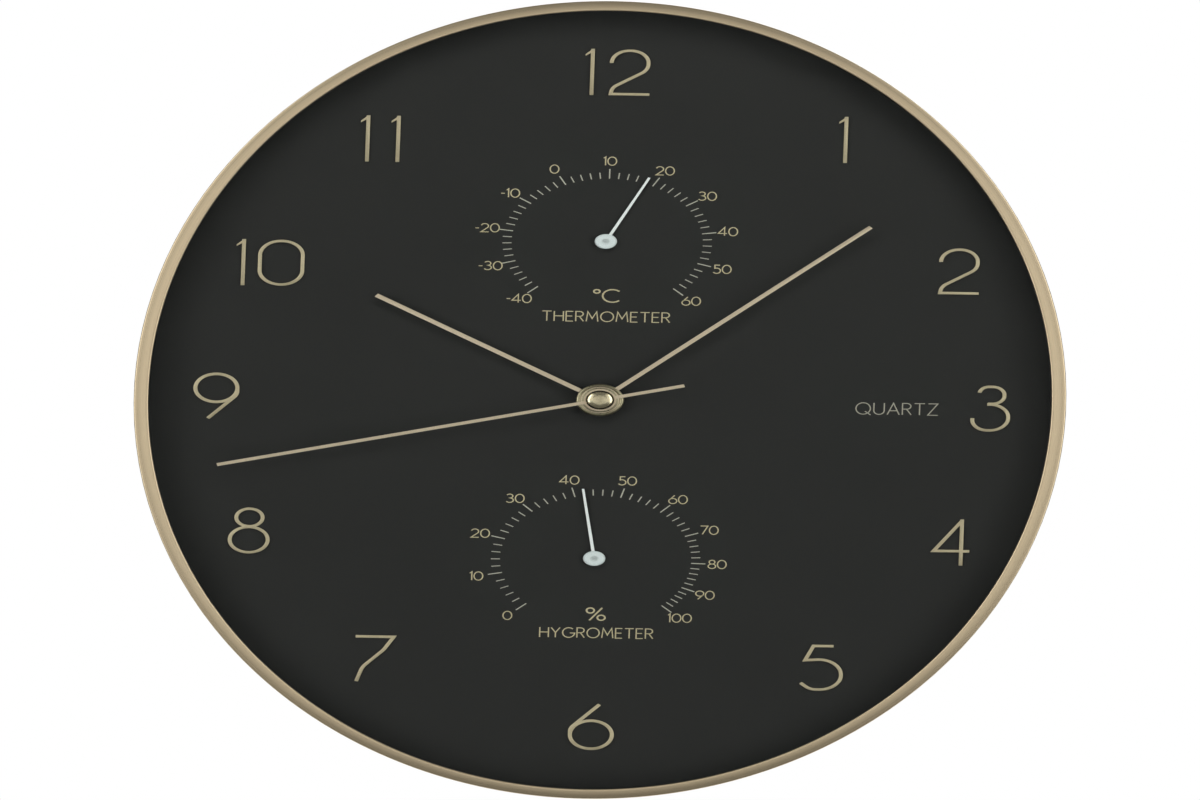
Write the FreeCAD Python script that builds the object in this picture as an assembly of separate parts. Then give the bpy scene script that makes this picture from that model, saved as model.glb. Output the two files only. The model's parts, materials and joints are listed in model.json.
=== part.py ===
"""Oval wall clock with a thermometer and a hygrometer on its dial.

Axes: the dial faces -Y, the wall is at +Y, +X is right as the dial is read, +Z is up.
Every function builds its piece about the hand axis, with y = 0 on the wall plane, and
keep() moves it so that the origin is the centre of the hanger's entry hole. Millimetres.
"""
import FreeCAD, Part
import math
import os
from FreeCAD import Vector

# Case: the oval outline, the front ring, the side wall and its rear flange
case_half_width = 150.0
case_half_height = 192.5
case_depth = 42.5
bezel_band = 4.8
bezel_plate = 1.6
bezel_edge_round = 1.2
bezel_inner_bevel = 0.6
bezel_skirt_wall = 1.2
bezel_skirt_depth = 6.0
rim_wall = 1.5
rim_flange_width = 10.0
rim_flange_thickness = 1.5
rim_flange_recess = 2.4
seat_gap = 0.15
loose_gap = 0.4
cut_overrun = 1.0

# Front stack: lens, black spacer, dial
lens_thickness = 2.0
dial_recess = 9.6
dial_thickness = 1.0
spacer_hide = 0.1

# Chassis behind the dial
chassis_thickness = 3.0
chassis_skirt_wall = 2.0
chassis_rib_height = 4.0
chassis_rib_wall = 1.6
chassis_rib_inset = 66.0
chassis_rib_count = 12
screw_count = 8
screw_boss_radius = 2.8
screw_hole_radius = 1.45
screw_pilot_radius = 1.0
screw_length = 8.0
screw_head_radius = 2.4
screw_head_height = 1.4
screw_slot_width = 0.6
screw_slot_depth = 0.7

# Hanger: a keyhole plate on a hollow tower of the chassis
hanger_inset = 42.5
hanger_wall_gap = 5.0
hanger_plate_thickness = 1.2
hanger_plate_width = 42.0
hanger_plate_height = 30.0
hanger_plate_lift = 3.0
hanger_tower_wall = 2.0
keyhole_radius = 4.5
keyhole_slot_width = 4.5
keyhole_slot_rise = 9.0
hanger_screw_half_pitch = 16.5
hanger_boss_radius = 3.0

# Hour numerals: one oval carries their centres, inside the case's outline
hour_count = 12
numeral_side_inset = 25.0
numeral_end_inset = 35.0
numeral_height = 22.3
numeral_stroke = 1.28
numeral_thickness = 1.0
# How far each numeral stands right of and above its place on the oval
numeral_offsets = {1: (1.6, 0.0), 2: (0.3, -0.8), 3: (0.7, -1.1), 4: (0.6, -0.3),
                   5: (0.8, -0.1), 6: (1.0, -0.2), 7: (4.4, 0.9), 8: (2.3, -0.1),
                   9: (1.5, -1.0), 10: (6.0, -1.9), 11: (-0.2, -3.0), 12: (1.8, 0.7)}

# Hands, at rest at the time that the dial shows
rest_hours = 10.1246
rest_seconds = 42.4
seconds_per_turn = 60
hour_hand_length = 88.0
minute_hand_length = 120.6
second_hand_length = 127.0
second_hand_tail = 27.9
hour_hand_width = 1.85
minute_hand_width = 1.65
second_hand_width = 1.25
hand_thickness = 0.6
second_hand_thickness = 0.4
hour_boss_radius = 6.6
minute_boss_radius = 7.7
minute_boss_round = 0.25
second_boss_radius = 5.2
second_cap_radius = 4.6
second_cap_height = 1.9
second_cap_round = 1.4
hand_space = 0.8
hour_hand_space = 0.8

# Shafts and fits at the hand axis
second_arbor_radius = 0.5
minute_arbor_radius = 1.6
hour_tube_radius = 2.5
bushing_radius = 4.0
running_gap = 0.08
press_gap = 0.02
nut_sides = 6
nut_flats = 11.0
nut_thickness = 2.0
washer_radius = 6.6
washer_thickness = 0.5
rubber_washer_radius = 10.0
rubber_washer_thickness = 0.8
bushing_proud = 0.4
tube_proud = 0.2

# Thermometer and hygrometer: the same module above and below the hand axis
sensor_offset = 76.5
thermometer_angle = 23.1
hygrometer_angle = -7.5
pointer_length = 33.8
pointer_root_width = 1.1
pointer_tip_width = 0.8
pointer_thickness = 0.4
pointer_hub_radius = 2.4
pointer_space = 1.0
cap_radius = 3.6
cap_thickness = 1.4
cap_round = 0.7
cap_dimple_radius = 1.0
cap_dimple_depth = 0.4
staff_radius = 0.6
staff_collar_radius = 1.6
housing_radius = 20.0
housing_wall = 1.2
housing_depth = 12.0
housing_boss_radius = 2.4
housing_boss_height = 2.6
housing_ear_radius = 4.5
housing_ear_thickness = 2.2
vent_count = 8
vent_width = 2.0
vent_length = 9.0
vent_start = 6.5
coil_turns = 5
coil_pitch = 2.5
coil_strip = 0.35
coil_width = 5.0
coil_gap = 0.1
coil_post_width = 2.4

# Movement case: as wide as the cell needs, as high as the wheels and the motor need
cell_end_space = 3.4
movement_height = 56.0
movement_depth = 16.0
movement_wall = 1.2
partition_z = -11.4
movement_corner = 2.0
gear_boss_radius = 1.2
gear_boss_height = 2.0
pillar_radius = 1.5
pillar_inset = 3.8
pillar_low_z = -7.0
pillar_high_z = 13.0

# Levels inside the movement, from its inner front face towards the rear
hour_wheel_level = 0.5
hour_wheel_thickness = 0.8
minute_pinion_level = 0.3
minute_wheel_level = 1.9
minute_wheel_thickness = 0.8
cannon_pinion_level = 1.6
cannon_pinion_length = 1.6
centre_wheel_level = 3.7
centre_wheel_thickness = 0.6
third_pinion_level = 3.4
middle_plate_level = 4.9
middle_plate_thickness = 0.8
minute_arbor_end_level = 5.6
third_wheel_level = 6.3
third_wheel_thickness = 0.5
second_pinion_level = 5.95
second_wheel_level = 7.4
second_wheel_thickness = 0.5
fifth_pinion_level = 7.1
fifth_wheel_level = 9.6
fifth_wheel_thickness = 0.5
rotor_magnet_level = 6.4
rotor_magnet_length = 2.6
rotor_pinion_end_level = 10.5
arbor_front_level = 1.4
arbor_end_level = 12.8
setting_shaft_level = 0.6
post_top_level = 3.1

# Gear train: teeth, modules, and the directions in which the arbors lie
rotor_pinion_teeth = 12
fifth_wheel_teeth = 60
fifth_pinion_teeth = 10
second_wheel_teeth = 60
second_pinion_teeth = 8
third_wheel_teeth = 60
third_pinion_teeth = 10
centre_wheel_teeth = 80
cannon_pinion_teeth = 12
minute_wheel_teeth = 36
minute_pinion_teeth = 10
hour_wheel_teeth = 40
setting_gear_teeth = 15
fast_module = 0.2
third_distance = 8.5
motion_module = 0.35
fifth_direction = 100.0
rotor_direction = 80.0
third_direction = 0.0
minute_wheel_direction = 150.0
setting_direction = 190.0
tooth_rise_share = 0.75
tooth_root_share = 1.25
tooth_root_half_share = 0.19
tooth_pitch_half_share = 0.155
tooth_tip_half_share = 0.07
arbor_radius = 0.35
minute_post_radius = 0.6
setting_shaft_radius = 1.0
setting_post_radius = 2.0
knob_radius = 5.5
knob_thickness = 3.0
knob_space = 0.4
knob_flutes = 20
knob_flute_radius = 0.45

# Motor: magnet, stator, core, bobbin and winding
magnet_radius = 3.0
stator_hole_radius = 3.8
stator_thickness = 1.0
stator_level = 7.2
stator_half_width = 17.5
stator_waist_half_width = 6.0
stator_low_z = 8.7
stator_shoulder_z = 12.0
stator_arm_low_z = 18.5
stator_arm_top_z = 25.0
stator_arm_inner = 12.5
coil_axis_z = 22.0
core_height = 2.0
core_thickness = 1.0
core_half_length = 17.0
bobbin_half_length = 11.5
bobbin_wall = 1.0
bobbin_clearance = 0.1
bobbin_flange_radius = 3.3
bobbin_flange_thickness = 0.6
winding_radius = 2.9
stator_post_half_pitch = 9.0
stator_post_z = 12.0
stator_post_radius = 1.2

# Circuit board, crystal, chip, contacts and cell
board_side_gap = 1.2
board_width = 7.0
board_low_z = -6.0
board_height = 19.0
board_level = 9.0
board_thickness = 0.8
board_post_radius = 1.1
crystal_radius = 1.0
crystal_length = 6.0
chip_radius = 2.6
chip_height = 1.1
contact_thickness = 0.3
contact_width = 9.0
contact_height = 11.0
contact_leg_width = 2.4
contact_leg_rise = 8.0
contact_bump_radius = 3.0
contact_gap = 0.1
cell_radius = 7.15
cell_length = 49.2
cell_nub_radius = 2.6
cell_nub_length = 1.3
cell_round = 0.6
cell_floor_gap = 0.3

# Widths and heights that follow from the sizes above
hanger_drop = case_half_height - hanger_inset
numeral_oval_half_width = case_half_width - numeral_side_inset
numeral_oval_half_height = case_half_height - numeral_end_inset
movement_half_width = cell_length / 2 + cell_end_space
movement_half_height = movement_height / 2
room_half_width = movement_half_width - movement_wall
room_top_z = movement_half_height - movement_wall
room_low_z = partition_z + movement_wall
pillar_half_pitch = room_half_width - pillar_inset
board_low_x = board_side_gap - room_half_width

# Depths that follow from the sizes above, negative towards the viewer
front_y = -case_depth
lens_front_y = front_y + bezel_plate
lens_rear_y = lens_front_y + lens_thickness
dial_front_y = lens_rear_y + dial_recess
dial_rear_y = dial_front_y + dial_thickness
chassis_rear_y = dial_rear_y + chassis_thickness
movement_front_y = chassis_rear_y + rubber_washer_thickness
movement_rear_y = movement_front_y + movement_depth
gear_floor_y = movement_front_y + movement_wall
cover_front_y = movement_rear_y - movement_wall
nut_front_y = dial_front_y - washer_thickness - nut_thickness
bushing_front_y = nut_front_y - bushing_proud
hour_hand_rear_y = nut_front_y - hour_hand_space
hour_hand_front_y = hour_hand_rear_y - hand_thickness
minute_hand_rear_y = hour_hand_front_y - hand_space
minute_hand_front_y = minute_hand_rear_y - hand_thickness
second_hand_rear_y = minute_hand_front_y - hand_space
second_hand_front_y = second_hand_rear_y - second_hand_thickness
hanger_rear_y = -hanger_wall_gap
hanger_front_y = hanger_rear_y - hanger_plate_thickness
flange_rear_y = -rim_flange_recess
flange_front_y = flange_rear_y - rim_flange_thickness
pointer_rear_y = dial_front_y - pointer_space
pointer_front_y = pointer_rear_y - pointer_thickness
cap_front_y = pointer_front_y - cap_thickness

# Insets of the fitted pieces from the case's outer oval
skirt_inset = rim_wall + seat_gap
lens_inset = skirt_inset + bezel_skirt_wall + seat_gap
spacer_inner_inset = bezel_band + spacer_hide
dial_inset = rim_wall + loose_gap
chassis_inner_inset = dial_inset + chassis_skirt_wall
screw_inset = chassis_inner_inset + screw_boss_radius - chassis_skirt_wall / 2

along_y = Vector(0, 1, 0)


def keep(name, shape):
    """Moves a finished piece from the hand axis to the hanger's hole and writes its file."""
    shape = shape.copy()
    shape.translate(Vector(0, -hanger_rear_y, -hanger_drop))
    shape.exportStep("parts/" + name + ".step")


def rod(radius, y_from, y_to, x=0.0, z=0.0):
    """Cylinder along Y between two depths."""
    low_y = min(y_from, y_to)
    return Part.makeCylinder(radius, abs(y_to - y_from), Vector(x, low_y, z), along_y)


def tube(outer, inner, y_from, y_to, x=0.0, z=0.0):
    """Cylinder along Y with a hole through it."""
    low_y = min(y_from, y_to)
    high_y = max(y_from, y_to)
    hole = rod(inner, low_y - cut_overrun, high_y + cut_overrun, x, z)
    return rod(outer, low_y, high_y, x, z).cut(hole)


def block(x_from, x_to, y_from, y_to, z_from, z_to):
    """Box between two corners."""
    size = Vector(x_to - x_from, y_to - y_from, z_to - z_from)
    return Part.makeBox(size.x, size.y, size.z, Vector(x_from, y_from, z_from))


def turned(shape, angle, x=0.0, z=0.0):
    """Turns a shape clockwise, as the dial is read, about an axis along Y."""
    shape = shape.copy()
    shape.rotate(Vector(x, 0, z), along_y, angle)
    return shape


def slab(points, y_from, y_to):
    """Flat piece whose outline is a list of (x, z) points."""
    corners = [Vector(x, y_from, z) for x, z in points]
    face = Part.Face(Part.makePolygon(corners + corners[:1]))
    return face.extrude(Vector(0, y_to - y_from, 0))


def oval_wire(inset, y):
    """Edge of an oval that lies inside the case's outline by the inset."""
    half_width = case_half_width - inset
    half_height = case_half_height - inset
    outline = Part.Ellipse(Vector(0, y, half_height), Vector(half_width, y, 0), Vector(0, y, 0))
    return Part.Wire([outline.toShape()])


def oval(inset, y_from, y_to):
    """Solid oval between two depths."""
    return Part.Face(oval_wire(inset, y_from)).extrude(Vector(0, y_to - y_from, 0))


def oval_cone(inset_from, y_from, inset_to, y_to):
    """Solid oval whose inset changes evenly between two depths."""
    return Part.makeLoft([oval_wire(inset_from, y_from), oval_wire(inset_to, y_to)], True, True)


def oval_ring(outer_inset, inner_inset, y_from, y_to):
    """Oval wall between two insets."""
    return oval(outer_inset, y_from, y_to).cut(oval(inner_inset, y_from - cut_overrun, y_to + cut_overrun))


def place_on_oval(inset, angle):
    """Point at an angle of an oval, clockwise from the top."""
    turn = math.radians(angle)
    return (case_half_width - inset) * math.sin(turn), (case_half_height - inset) * math.cos(turn)


def oval_reach(inset, angle):
    """Distance from the hand axis to an oval in a direction, clockwise from the top."""
    turn = math.radians(angle)
    across = math.sin(turn) / (case_half_width - inset)
    rise = math.cos(turn) / (case_half_height - inset)
    return 1 / math.hypot(across, rise)


def edges_at(shape, y, low_length, high_length=math.inf):
    """Edges that lie in one depth plane and whose length is between two limits."""
    found = []
    for edge in shape.Edges:
        box = edge.BoundBox
        flat = abs(box.YMin - y) < press_gap and abs(box.YMax - y) < press_gap
        if flat and low_length < edge.Length < high_length:
            found.append(edge)
    return found


# Case pieces

def bezel():
    """Front ring: a flat band with a rounded outer edge, and a skirt that plugs into the rim."""
    band = oval_ring(0, bezel_band, front_y, lens_front_y)
    outline_length = oval(0, front_y, lens_front_y).Edges[0].Length
    band = band.makeFillet(bezel_edge_round, edges_at(band, front_y, outline_length - press_gap))
    band = band.cut(oval_cone(bezel_band - 2 * bezel_inner_bevel, front_y - bezel_inner_bevel,
                              bezel_band, front_y + bezel_inner_bevel))
    skirt_end_y = lens_front_y + bezel_skirt_depth
    skirt_inner_inset = skirt_inset + bezel_skirt_wall
    skirt = oval_ring(skirt_inset, skirt_inner_inset, lens_front_y - bezel_plate / 2, skirt_end_y)
    return band.fuse(skirt).removeSplitter()


def case_rim():
    """Side wall with a recessed inward flange at the rear, drilled for the chassis screws."""
    hollows = [oval(rim_wall, lens_front_y - cut_overrun, flange_front_y),
               oval(rim_wall, flange_rear_y, cut_overrun),
               oval(rim_flange_width, flange_front_y - cut_overrun, cut_overrun)]
    holes = [rod(screw_hole_radius, flange_front_y - cut_overrun, 0, x, z) for x, z in screw_places()]
    return oval(0, lens_front_y, 0).cut(hollows + holes)


def screw_places():
    """Centres of the screws that hold the chassis to the rim's flange."""
    step = 360.0 / screw_count
    return [place_on_oval(screw_inset, step * (index + 0.5)) for index in range(screw_count)]


def lens():
    return oval(lens_inset, lens_front_y, lens_rear_y)


def spacer_ring():
    return oval_ring(lens_inset, spacer_inner_inset, lens_rear_y, dial_front_y)


def dial():
    """Dial plate with a hole for the bushing and one for each sensor's staff."""
    plate = oval(dial_inset, dial_front_y, dial_rear_y)
    plate = plate.cut(rod(bushing_radius + seat_gap, front_y, 0))
    for side in (1, -1):
        plate = plate.cut(rod(staff_radius + loose_gap, front_y, 0, 0, side * sensor_offset))
    return plate


def hanger_box(grow, y_from, y_to):
    """Box over the hanger plate's outline, grown or shrunk on all four sides."""
    half_width = hanger_plate_width / 2 + grow
    low_z = hanger_drop + hanger_plate_lift - hanger_plate_height / 2 - grow
    high_z = hanger_drop + hanger_plate_lift + hanger_plate_height / 2 + grow
    return block(-half_width, half_width, y_from, y_to, low_z, high_z)


def hanger_screw_places():
    height = hanger_drop + hanger_plate_lift
    return [(-hanger_screw_half_pitch, height), (hanger_screw_half_pitch, height)]


def sensor_screw_places():
    reach = housing_radius + housing_ear_radius
    return [(x, z) for z in (sensor_offset, -sensor_offset) for x in (-reach, reach)]


def chassis_ribs():
    """Low oval rib and the spokes from it to the skirt, clear of the hanger tower."""
    rib_end_y = chassis_rear_y + chassis_rib_height
    half_rib = chassis_rib_wall / 2
    ribs = [oval_ring(chassis_rib_inset - half_rib, chassis_rib_inset + half_rib, chassis_rear_y, rib_end_y)]
    for index in range(chassis_rib_count):
        angle = 360.0 / chassis_rib_count * index
        start = oval_reach(chassis_rib_inset, angle)
        finish = oval_reach(dial_inset + chassis_skirt_wall / 2, angle)
        if index == 0:
            finish = hanger_drop + hanger_plate_lift - hanger_plate_height / 2 + hanger_tower_wall / 2
        ribs.append(turned(block(-half_rib, half_rib, chassis_rear_y, rib_end_y, start, finish), angle))
    return ribs


def hanger_tower():
    """Hollow box that holds the hanger plate out near the wall, with two screw bosses."""
    hollow = hanger_box(-hanger_tower_wall, chassis_rear_y, 0)
    bosses = [rod(hanger_boss_radius, chassis_rear_y, 0, x, z) for x, z in hanger_screw_places()]
    return hanger_box(0, chassis_rear_y, hanger_front_y).cut(hollow.cut(bosses))


def chassis():
    """Moulded pan: plate, skirt, screw bosses, ribs and the hollow hanger tower."""
    pan = oval(dial_inset, dial_rear_y, flange_front_y).cut(oval(chassis_inner_inset, chassis_rear_y, 0))
    bosses = [rod(screw_boss_radius, chassis_rear_y, flange_front_y, x, z) for x, z in screw_places()]
    pan = pan.fuse([hanger_tower()] + chassis_ribs() + bosses)
    holes = [rod(bushing_radius + seat_gap, front_y, 0)]
    for side in (1, -1):
        holes.append(rod(staff_radius + running_gap, front_y, 0, 0, side * sensor_offset))
    for x, z in screw_places():
        holes.append(rod(screw_pilot_radius, flange_front_y - screw_length, 0, x, z))
    for x, z in hanger_screw_places():
        holes.append(rod(screw_pilot_radius, hanger_front_y - screw_length, 0, x, z))
    for x, z in sensor_screw_places():
        holes.append(rod(screw_pilot_radius, front_y, 0, x, z))
    return pan.cut(holes).removeSplitter()


def hanger_plate():
    """Steel plate with a keyhole: a round entry and a slot above it."""
    plate = hanger_box(0, hanger_front_y, hanger_rear_y)
    slot_top = hanger_drop + keyhole_slot_rise
    keyhole = rod(keyhole_radius, front_y, 0, 0, hanger_drop)
    slot_half = keyhole_slot_width / 2
    keyhole = keyhole.fuse(block(-slot_half, slot_half, front_y, 0, hanger_drop, slot_top))
    keyhole = keyhole.fuse(rod(slot_half, front_y, 0, 0, slot_top))
    plate = plate.cut(keyhole)
    for x, z in hanger_screw_places():
        plate = plate.cut(rod(screw_hole_radius, front_y, 0, x, z))
    return plate


def screw(seat_y, x, z):
    """Slotted pan-head screw whose head sits on a face at seat_y and points rearwards."""
    head_end_y = seat_y + screw_head_height
    body = rod(screw_head_radius, seat_y, head_end_y, x, z)
    slot_half = screw_slot_width / 2
    reach = screw_head_radius + cut_overrun
    slot = block(x - reach, x + reach, head_end_y - screw_slot_depth, head_end_y + cut_overrun,
                 z - slot_half, z + slot_half)
    shank = rod(screw_pilot_radius - press_gap, seat_y - screw_length / 2, seat_y, x, z)
    return body.cut(slot).fuse(shank)


def case_screws():
    """All the identical self-tapping screws: chassis, hanger plate and sensor housings."""
    seats = [(flange_rear_y, place) for place in screw_places()]
    seats += [(hanger_rear_y, place) for place in hanger_screw_places()]
    seats += [(chassis_rear_y + housing_ear_thickness, place) for place in sensor_screw_places()]
    return Part.makeCompound([screw(seat_y, x, z) for seat_y, (x, z) in seats])


# Hour numerals

def stroke(points, radii_shares, closed=False):
    """Flat strip of the numerals' stroke width along a path of straight runs and tangent arcs.

    Points and corner radii are shares of the numeral's height. A corner with no radius is mitred.
    """
    half = numeral_stroke / 2
    sides = [offset_path(points, radii_shares, shift, closed) for shift in (half, -half)]
    if closed:
        wires = [Part.Wire(edges) for edges in sides]
        faces = [Part.Face(wire) for wire in wires]
        faces.sort(key=lambda face: face.Area)
        return faces[1].cut(faces[0])
    left, right = sides
    left_ends = (left[0].Vertexes[0].Point, left[-1].Vertexes[-1].Point)
    right_ends = (right[0].Vertexes[0].Point, right[-1].Vertexes[-1].Point)
    caps = [Part.makeLine(left_ends[0], right_ends[0]), Part.makeLine(left_ends[1], right_ends[1])]
    return Part.Face(Part.Wire(Part.__sortEdges__(left + right + caps)))


def offset_path(points, radii_shares, shift, closed):
    """Edges of a path moved sideways by shift, to the left of its direction."""
    corners = [Vector(x * numeral_height, 0, z * numeral_height) for x, z in points]
    radii = [share * numeral_height for share in radii_shares]
    count = len(corners)
    runs = []
    for index in range(count if closed else count - 1):
        start = corners[index]
        finish = corners[(index + 1) % count]
        heading = finish - start
        heading.normalize()
        left = Vector(-heading.z, 0, heading.x)
        runs.append((start, finish, heading, left))
    begins = [run[0] + run[3] * shift for run in runs]
    ends = [run[1] + run[3] * shift for run in runs]
    arcs = {}
    joints = range(count) if closed else range(1, count - 1)
    for corner in joints:
        before = (corner - 1) % len(runs)
        after = corner % len(runs)
        into, away = runs[before], runs[after]
        turn = math.atan2(into[2].x * away[2].z - into[2].z * away[2].x, into[2].dot(away[2]))
        reach = radii[corner] * math.tan(abs(turn) / 2)
        if radii[corner] == 0:
            mitre = into[3] + away[3]
            mitre = mitre * (shift / (1 + into[3].dot(away[3])))
            ends[before] = corners[corner] + mitre
            begins[after] = corners[corner] + mitre
            continue
        side = 1 if turn > 0 else -1
        centre = corners[corner] - into[2] * reach + into[3] * (side * radii[corner])
        bend = radii[corner] - side * shift
        middle = (into[3] + away[3]) * (-side)
        middle.normalize()
        ends[before] = centre - into[3] * (side * bend)
        begins[after] = centre - away[3] * (side * bend)
        arcs[before] = Part.Arc(ends[before], centre + middle * bend, begins[after]).toShape()
    edges = []
    for index in range(len(runs)):
        if (ends[index] - begins[index]).Length > press_gap:
            edges.append(Part.makeLine(begins[index], ends[index]))
        if index in arcs:
            edges.append(arcs[index])
    return edges


def ring_face(centre_x, centre_z, radius_share):
    """Ring of one stroke width about a point, all given as shares of the numeral's height."""
    centre = Vector(centre_x * numeral_height, 0, centre_z * numeral_height)
    radius = radius_share * numeral_height
    half = numeral_stroke / 2
    outer, inner = [Part.Wire(Part.makeCircle(radius + shift, centre, along_y)) for shift in (half, -half)]
    return Part.Face(outer).cut(Part.Face(inner))


# Centre lines of the digits, as shares of the numeral's height, from the box's lower left corner
edge_share = numeral_stroke / numeral_height / 2
top_share = 1 - edge_share
one_stem_share = 0.105
zero_width_shares = (edge_share, 0.645)
two_shares = ((0.04, 0.70), (0.04, top_share), (0.57, top_share), (0.57, 0.56), (0.06, 0.17),
              (0.04, edge_share), (0.60, edge_share))
two_radii_shares = (0, 0.26, 0.26, 0.24, 0.2, 0, 0)
three_upper_shares = ((0.125, 0.84), (0.155, top_share), (0.485, top_share), (0.485, 0.603), (0.25, 0.603))
three_upper_radii_shares = (0, 0.14, 0.175, 0.175, 0)
three_lower_shares = ((0.24, 0.588), (0.55, 0.588), (0.55, edge_share), (0.02, edge_share), (0.035, 0.29))
three_lower_radii_shares = (0, 0.27, 0.27, 0.22, 0)
four_sides_shares = ((0.56, 0.31), (0.045, 0.31), (0.44, 0.97))
four_stem_shares = ((0.44, 0), (0.44, 1))
five_shares = ((0.48, top_share), (0.19, top_share), (0.075, 0.66), (0.60, 0.71), (0.60, edge_share),
               (0.16, edge_share), (0.02, 0.17))
five_radii_shares = (0, 0, 0, 0.325, 0.31, 0.2, 0)
six_tail_shares = ((0.44, 0.99), (edge_share, 0.47), (edge_share, 0.34))
six_tail_radii_shares = (0, 0.2, 0)
six_bowl_share = 0.303
seven_shares = ((0, top_share), (0.55, top_share), (0.41, 0.69), (0.11, 0.31), (0.03, 0))
seven_radii_shares = (0, 0, 0.4, 0.35, 0)
eight_centre_share = 0.31
eight_lower_share = 0.274
eight_upper_share = 0.19


def digit_zero():
    low, high = zero_width_shares
    corners = ((low, edge_share), (high, edge_share), (high, top_share), (low, top_share))
    radius = (high - low) / 2 - press_gap / numeral_height
    return [stroke(corners, (radius,) * len(corners), closed=True)]


def digit_one():
    """Stem with a short slanted flag at its upper left."""
    flag = ((0, 0.885), (0, 0.845), (one_stem_share, 0.93), (one_stem_share, 1))
    outline = [Vector(x * numeral_height, 0, z * numeral_height) for x, z in flag]
    flag_face = Part.Face(Part.makePolygon(outline + outline[:1]))
    return [stroke(((one_stem_share, 0), (one_stem_share, 1)), (0, 0)), flag_face]


def digit_two():
    return [stroke(two_shares, two_radii_shares)]


def digit_three():
    return [stroke(three_upper_shares, three_upper_radii_shares),
            stroke(three_lower_shares, three_lower_radii_shares)]


def digit_four():
    """Crossbar and slanted side in one stroke, and the stem."""
    return [stroke(four_sides_shares, (0,) * len(four_sides_shares)), stroke(four_stem_shares, (0, 0))]


def digit_five():
    return [stroke(five_shares, five_radii_shares)]


def digit_six():
    bowl = ring_face(edge_share + six_bowl_share, edge_share + six_bowl_share, six_bowl_share)
    return [bowl, stroke(six_tail_shares, six_tail_radii_shares)]


def digit_seven():
    return [stroke(seven_shares, seven_radii_shares)]


def digit_eight():
    lower_z = edge_share + eight_lower_share
    upper_z = top_share - eight_upper_share
    return [ring_face(eight_centre_share, lower_z, eight_lower_share),
            ring_face(eight_centre_share, upper_z, eight_upper_share)]


def digit_nine():
    """The six turned half round."""
    width = (six_bowl_share + edge_share) * 2 * numeral_height
    faces = []
    for face in digit_six():
        face.rotate(Vector(width / 2, 0, numeral_height / 2), along_y, 180)
        faces.append(face)
    return faces


digits = {"0": digit_zero, "1": digit_one, "2": digit_two, "3": digit_three, "4": digit_four,
          "5": digit_five, "6": digit_six, "7": digit_seven, "8": digit_eight, "9": digit_nine}
second_digit_shares = {"0": 0.238, "1": 0.363, "2": 0.265}


def numeral(hour):
    """Raised numeral, upright, centred beside its place on the numeral oval."""
    text = str(hour)
    faces = digits[text[0]]()
    if len(text) > 1:
        step = (one_stem_share - edge_share + second_digit_shares[text[1]]) * numeral_height
        for face in digits[text[1]]():
            face.translate(Vector(step, 0, 0))
            faces.append(face)
    box = Part.makeCompound(faces).BoundBox
    turn = math.radians(360.0 / hour_count * hour)
    across = math.sin(turn) / numeral_oval_half_width
    rise = math.cos(turn) / numeral_oval_half_height
    distance = 1 / math.hypot(across, rise)
    offset_x, offset_z = numeral_offsets[hour]
    centre_x = distance * math.sin(turn) + offset_x
    centre_z = distance * math.cos(turn) + offset_z
    shift = Vector(centre_x - (box.XMin + box.XMax) / 2, dial_front_y, centre_z - (box.ZMin + box.ZMax) / 2)
    bodies = []
    for face in faces:
        face.translate(shift)
        bodies.append(face.extrude(Vector(0, -numeral_thickness, 0)))
    whole = bodies[0]
    for body in bodies[1:]:
        whole = whole.fuse(body)
    return whole.removeSplitter()


# Hands

def hand_angle(time, per_turn):
    """Angle of a hand, clockwise from the top, from a time and the time of one turn."""
    return 360.0 * ((time / per_turn) % 1.0)


hour_hand_angle = hand_angle(rest_hours, hour_count)
minute_hand_angle = hand_angle(rest_hours, 1)
second_hand_angle = hand_angle(rest_seconds, seconds_per_turn)


def hour_hand():
    half = hour_hand_width / 2
    bar = block(-half, half, hour_hand_front_y, hour_hand_rear_y, 0, hour_hand_length)
    blank = bar.fuse(rod(hour_boss_radius, hour_hand_front_y, hour_hand_rear_y))
    blank = blank.cut(rod(hour_tube_radius + press_gap, front_y, 0))
    return turned(blank.removeSplitter(), hour_hand_angle)


def minute_hand():
    half = minute_hand_width / 2
    bar = block(-half, half, minute_hand_front_y, minute_hand_rear_y, 0, minute_hand_length)
    boss = rod(minute_boss_radius, minute_hand_front_y, minute_hand_rear_y)
    boss = boss.makeFillet(minute_boss_round, edges_at(boss, minute_hand_front_y, minute_boss_radius))
    blank = bar.fuse(boss).cut(rod(minute_arbor_radius + press_gap, front_y, 0))
    return turned(blank.removeSplitter(), minute_hand_angle)


def second_hand():
    """Thin bar with a tail, a round boss and a domed cap over the arbor's end."""
    half = second_hand_width / 2
    bar = block(-half, half, second_hand_front_y, second_hand_rear_y, -second_hand_tail, second_hand_length)
    boss = rod(second_boss_radius, second_hand_front_y, second_hand_rear_y)
    cap_front = second_hand_front_y - second_cap_height
    cap = rod(second_cap_radius, cap_front, second_hand_front_y)
    cap = cap.makeFillet(second_cap_round, edges_at(cap, cap_front, second_cap_radius))
    bore_end = second_hand_front_y - second_cap_height / 2
    blank = bar.fuse(boss).fuse(cap).cut(rod(second_arbor_radius + press_gap, bore_end, 0))
    return turned(blank.removeSplitter(), second_hand_angle)


# Thermometer and hygrometer modules

def pointer(side, angle):
    """Tapered white pointer with a round hub."""
    root = pointer_root_width / 2
    tip = pointer_tip_width / 2
    z = side * sensor_offset
    outline = [(-root, z), (-tip, z + pointer_length), (tip, z + pointer_length), (root, z)]
    blade = slab(outline, pointer_front_y, pointer_rear_y)
    hub = rod(pointer_hub_radius, pointer_front_y, pointer_rear_y, 0, z)
    blank = blade.fuse(hub).cut(rod(staff_radius + press_gap, front_y, 0, 0, z))
    return turned(blank.removeSplitter(), angle, 0, z)


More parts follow.
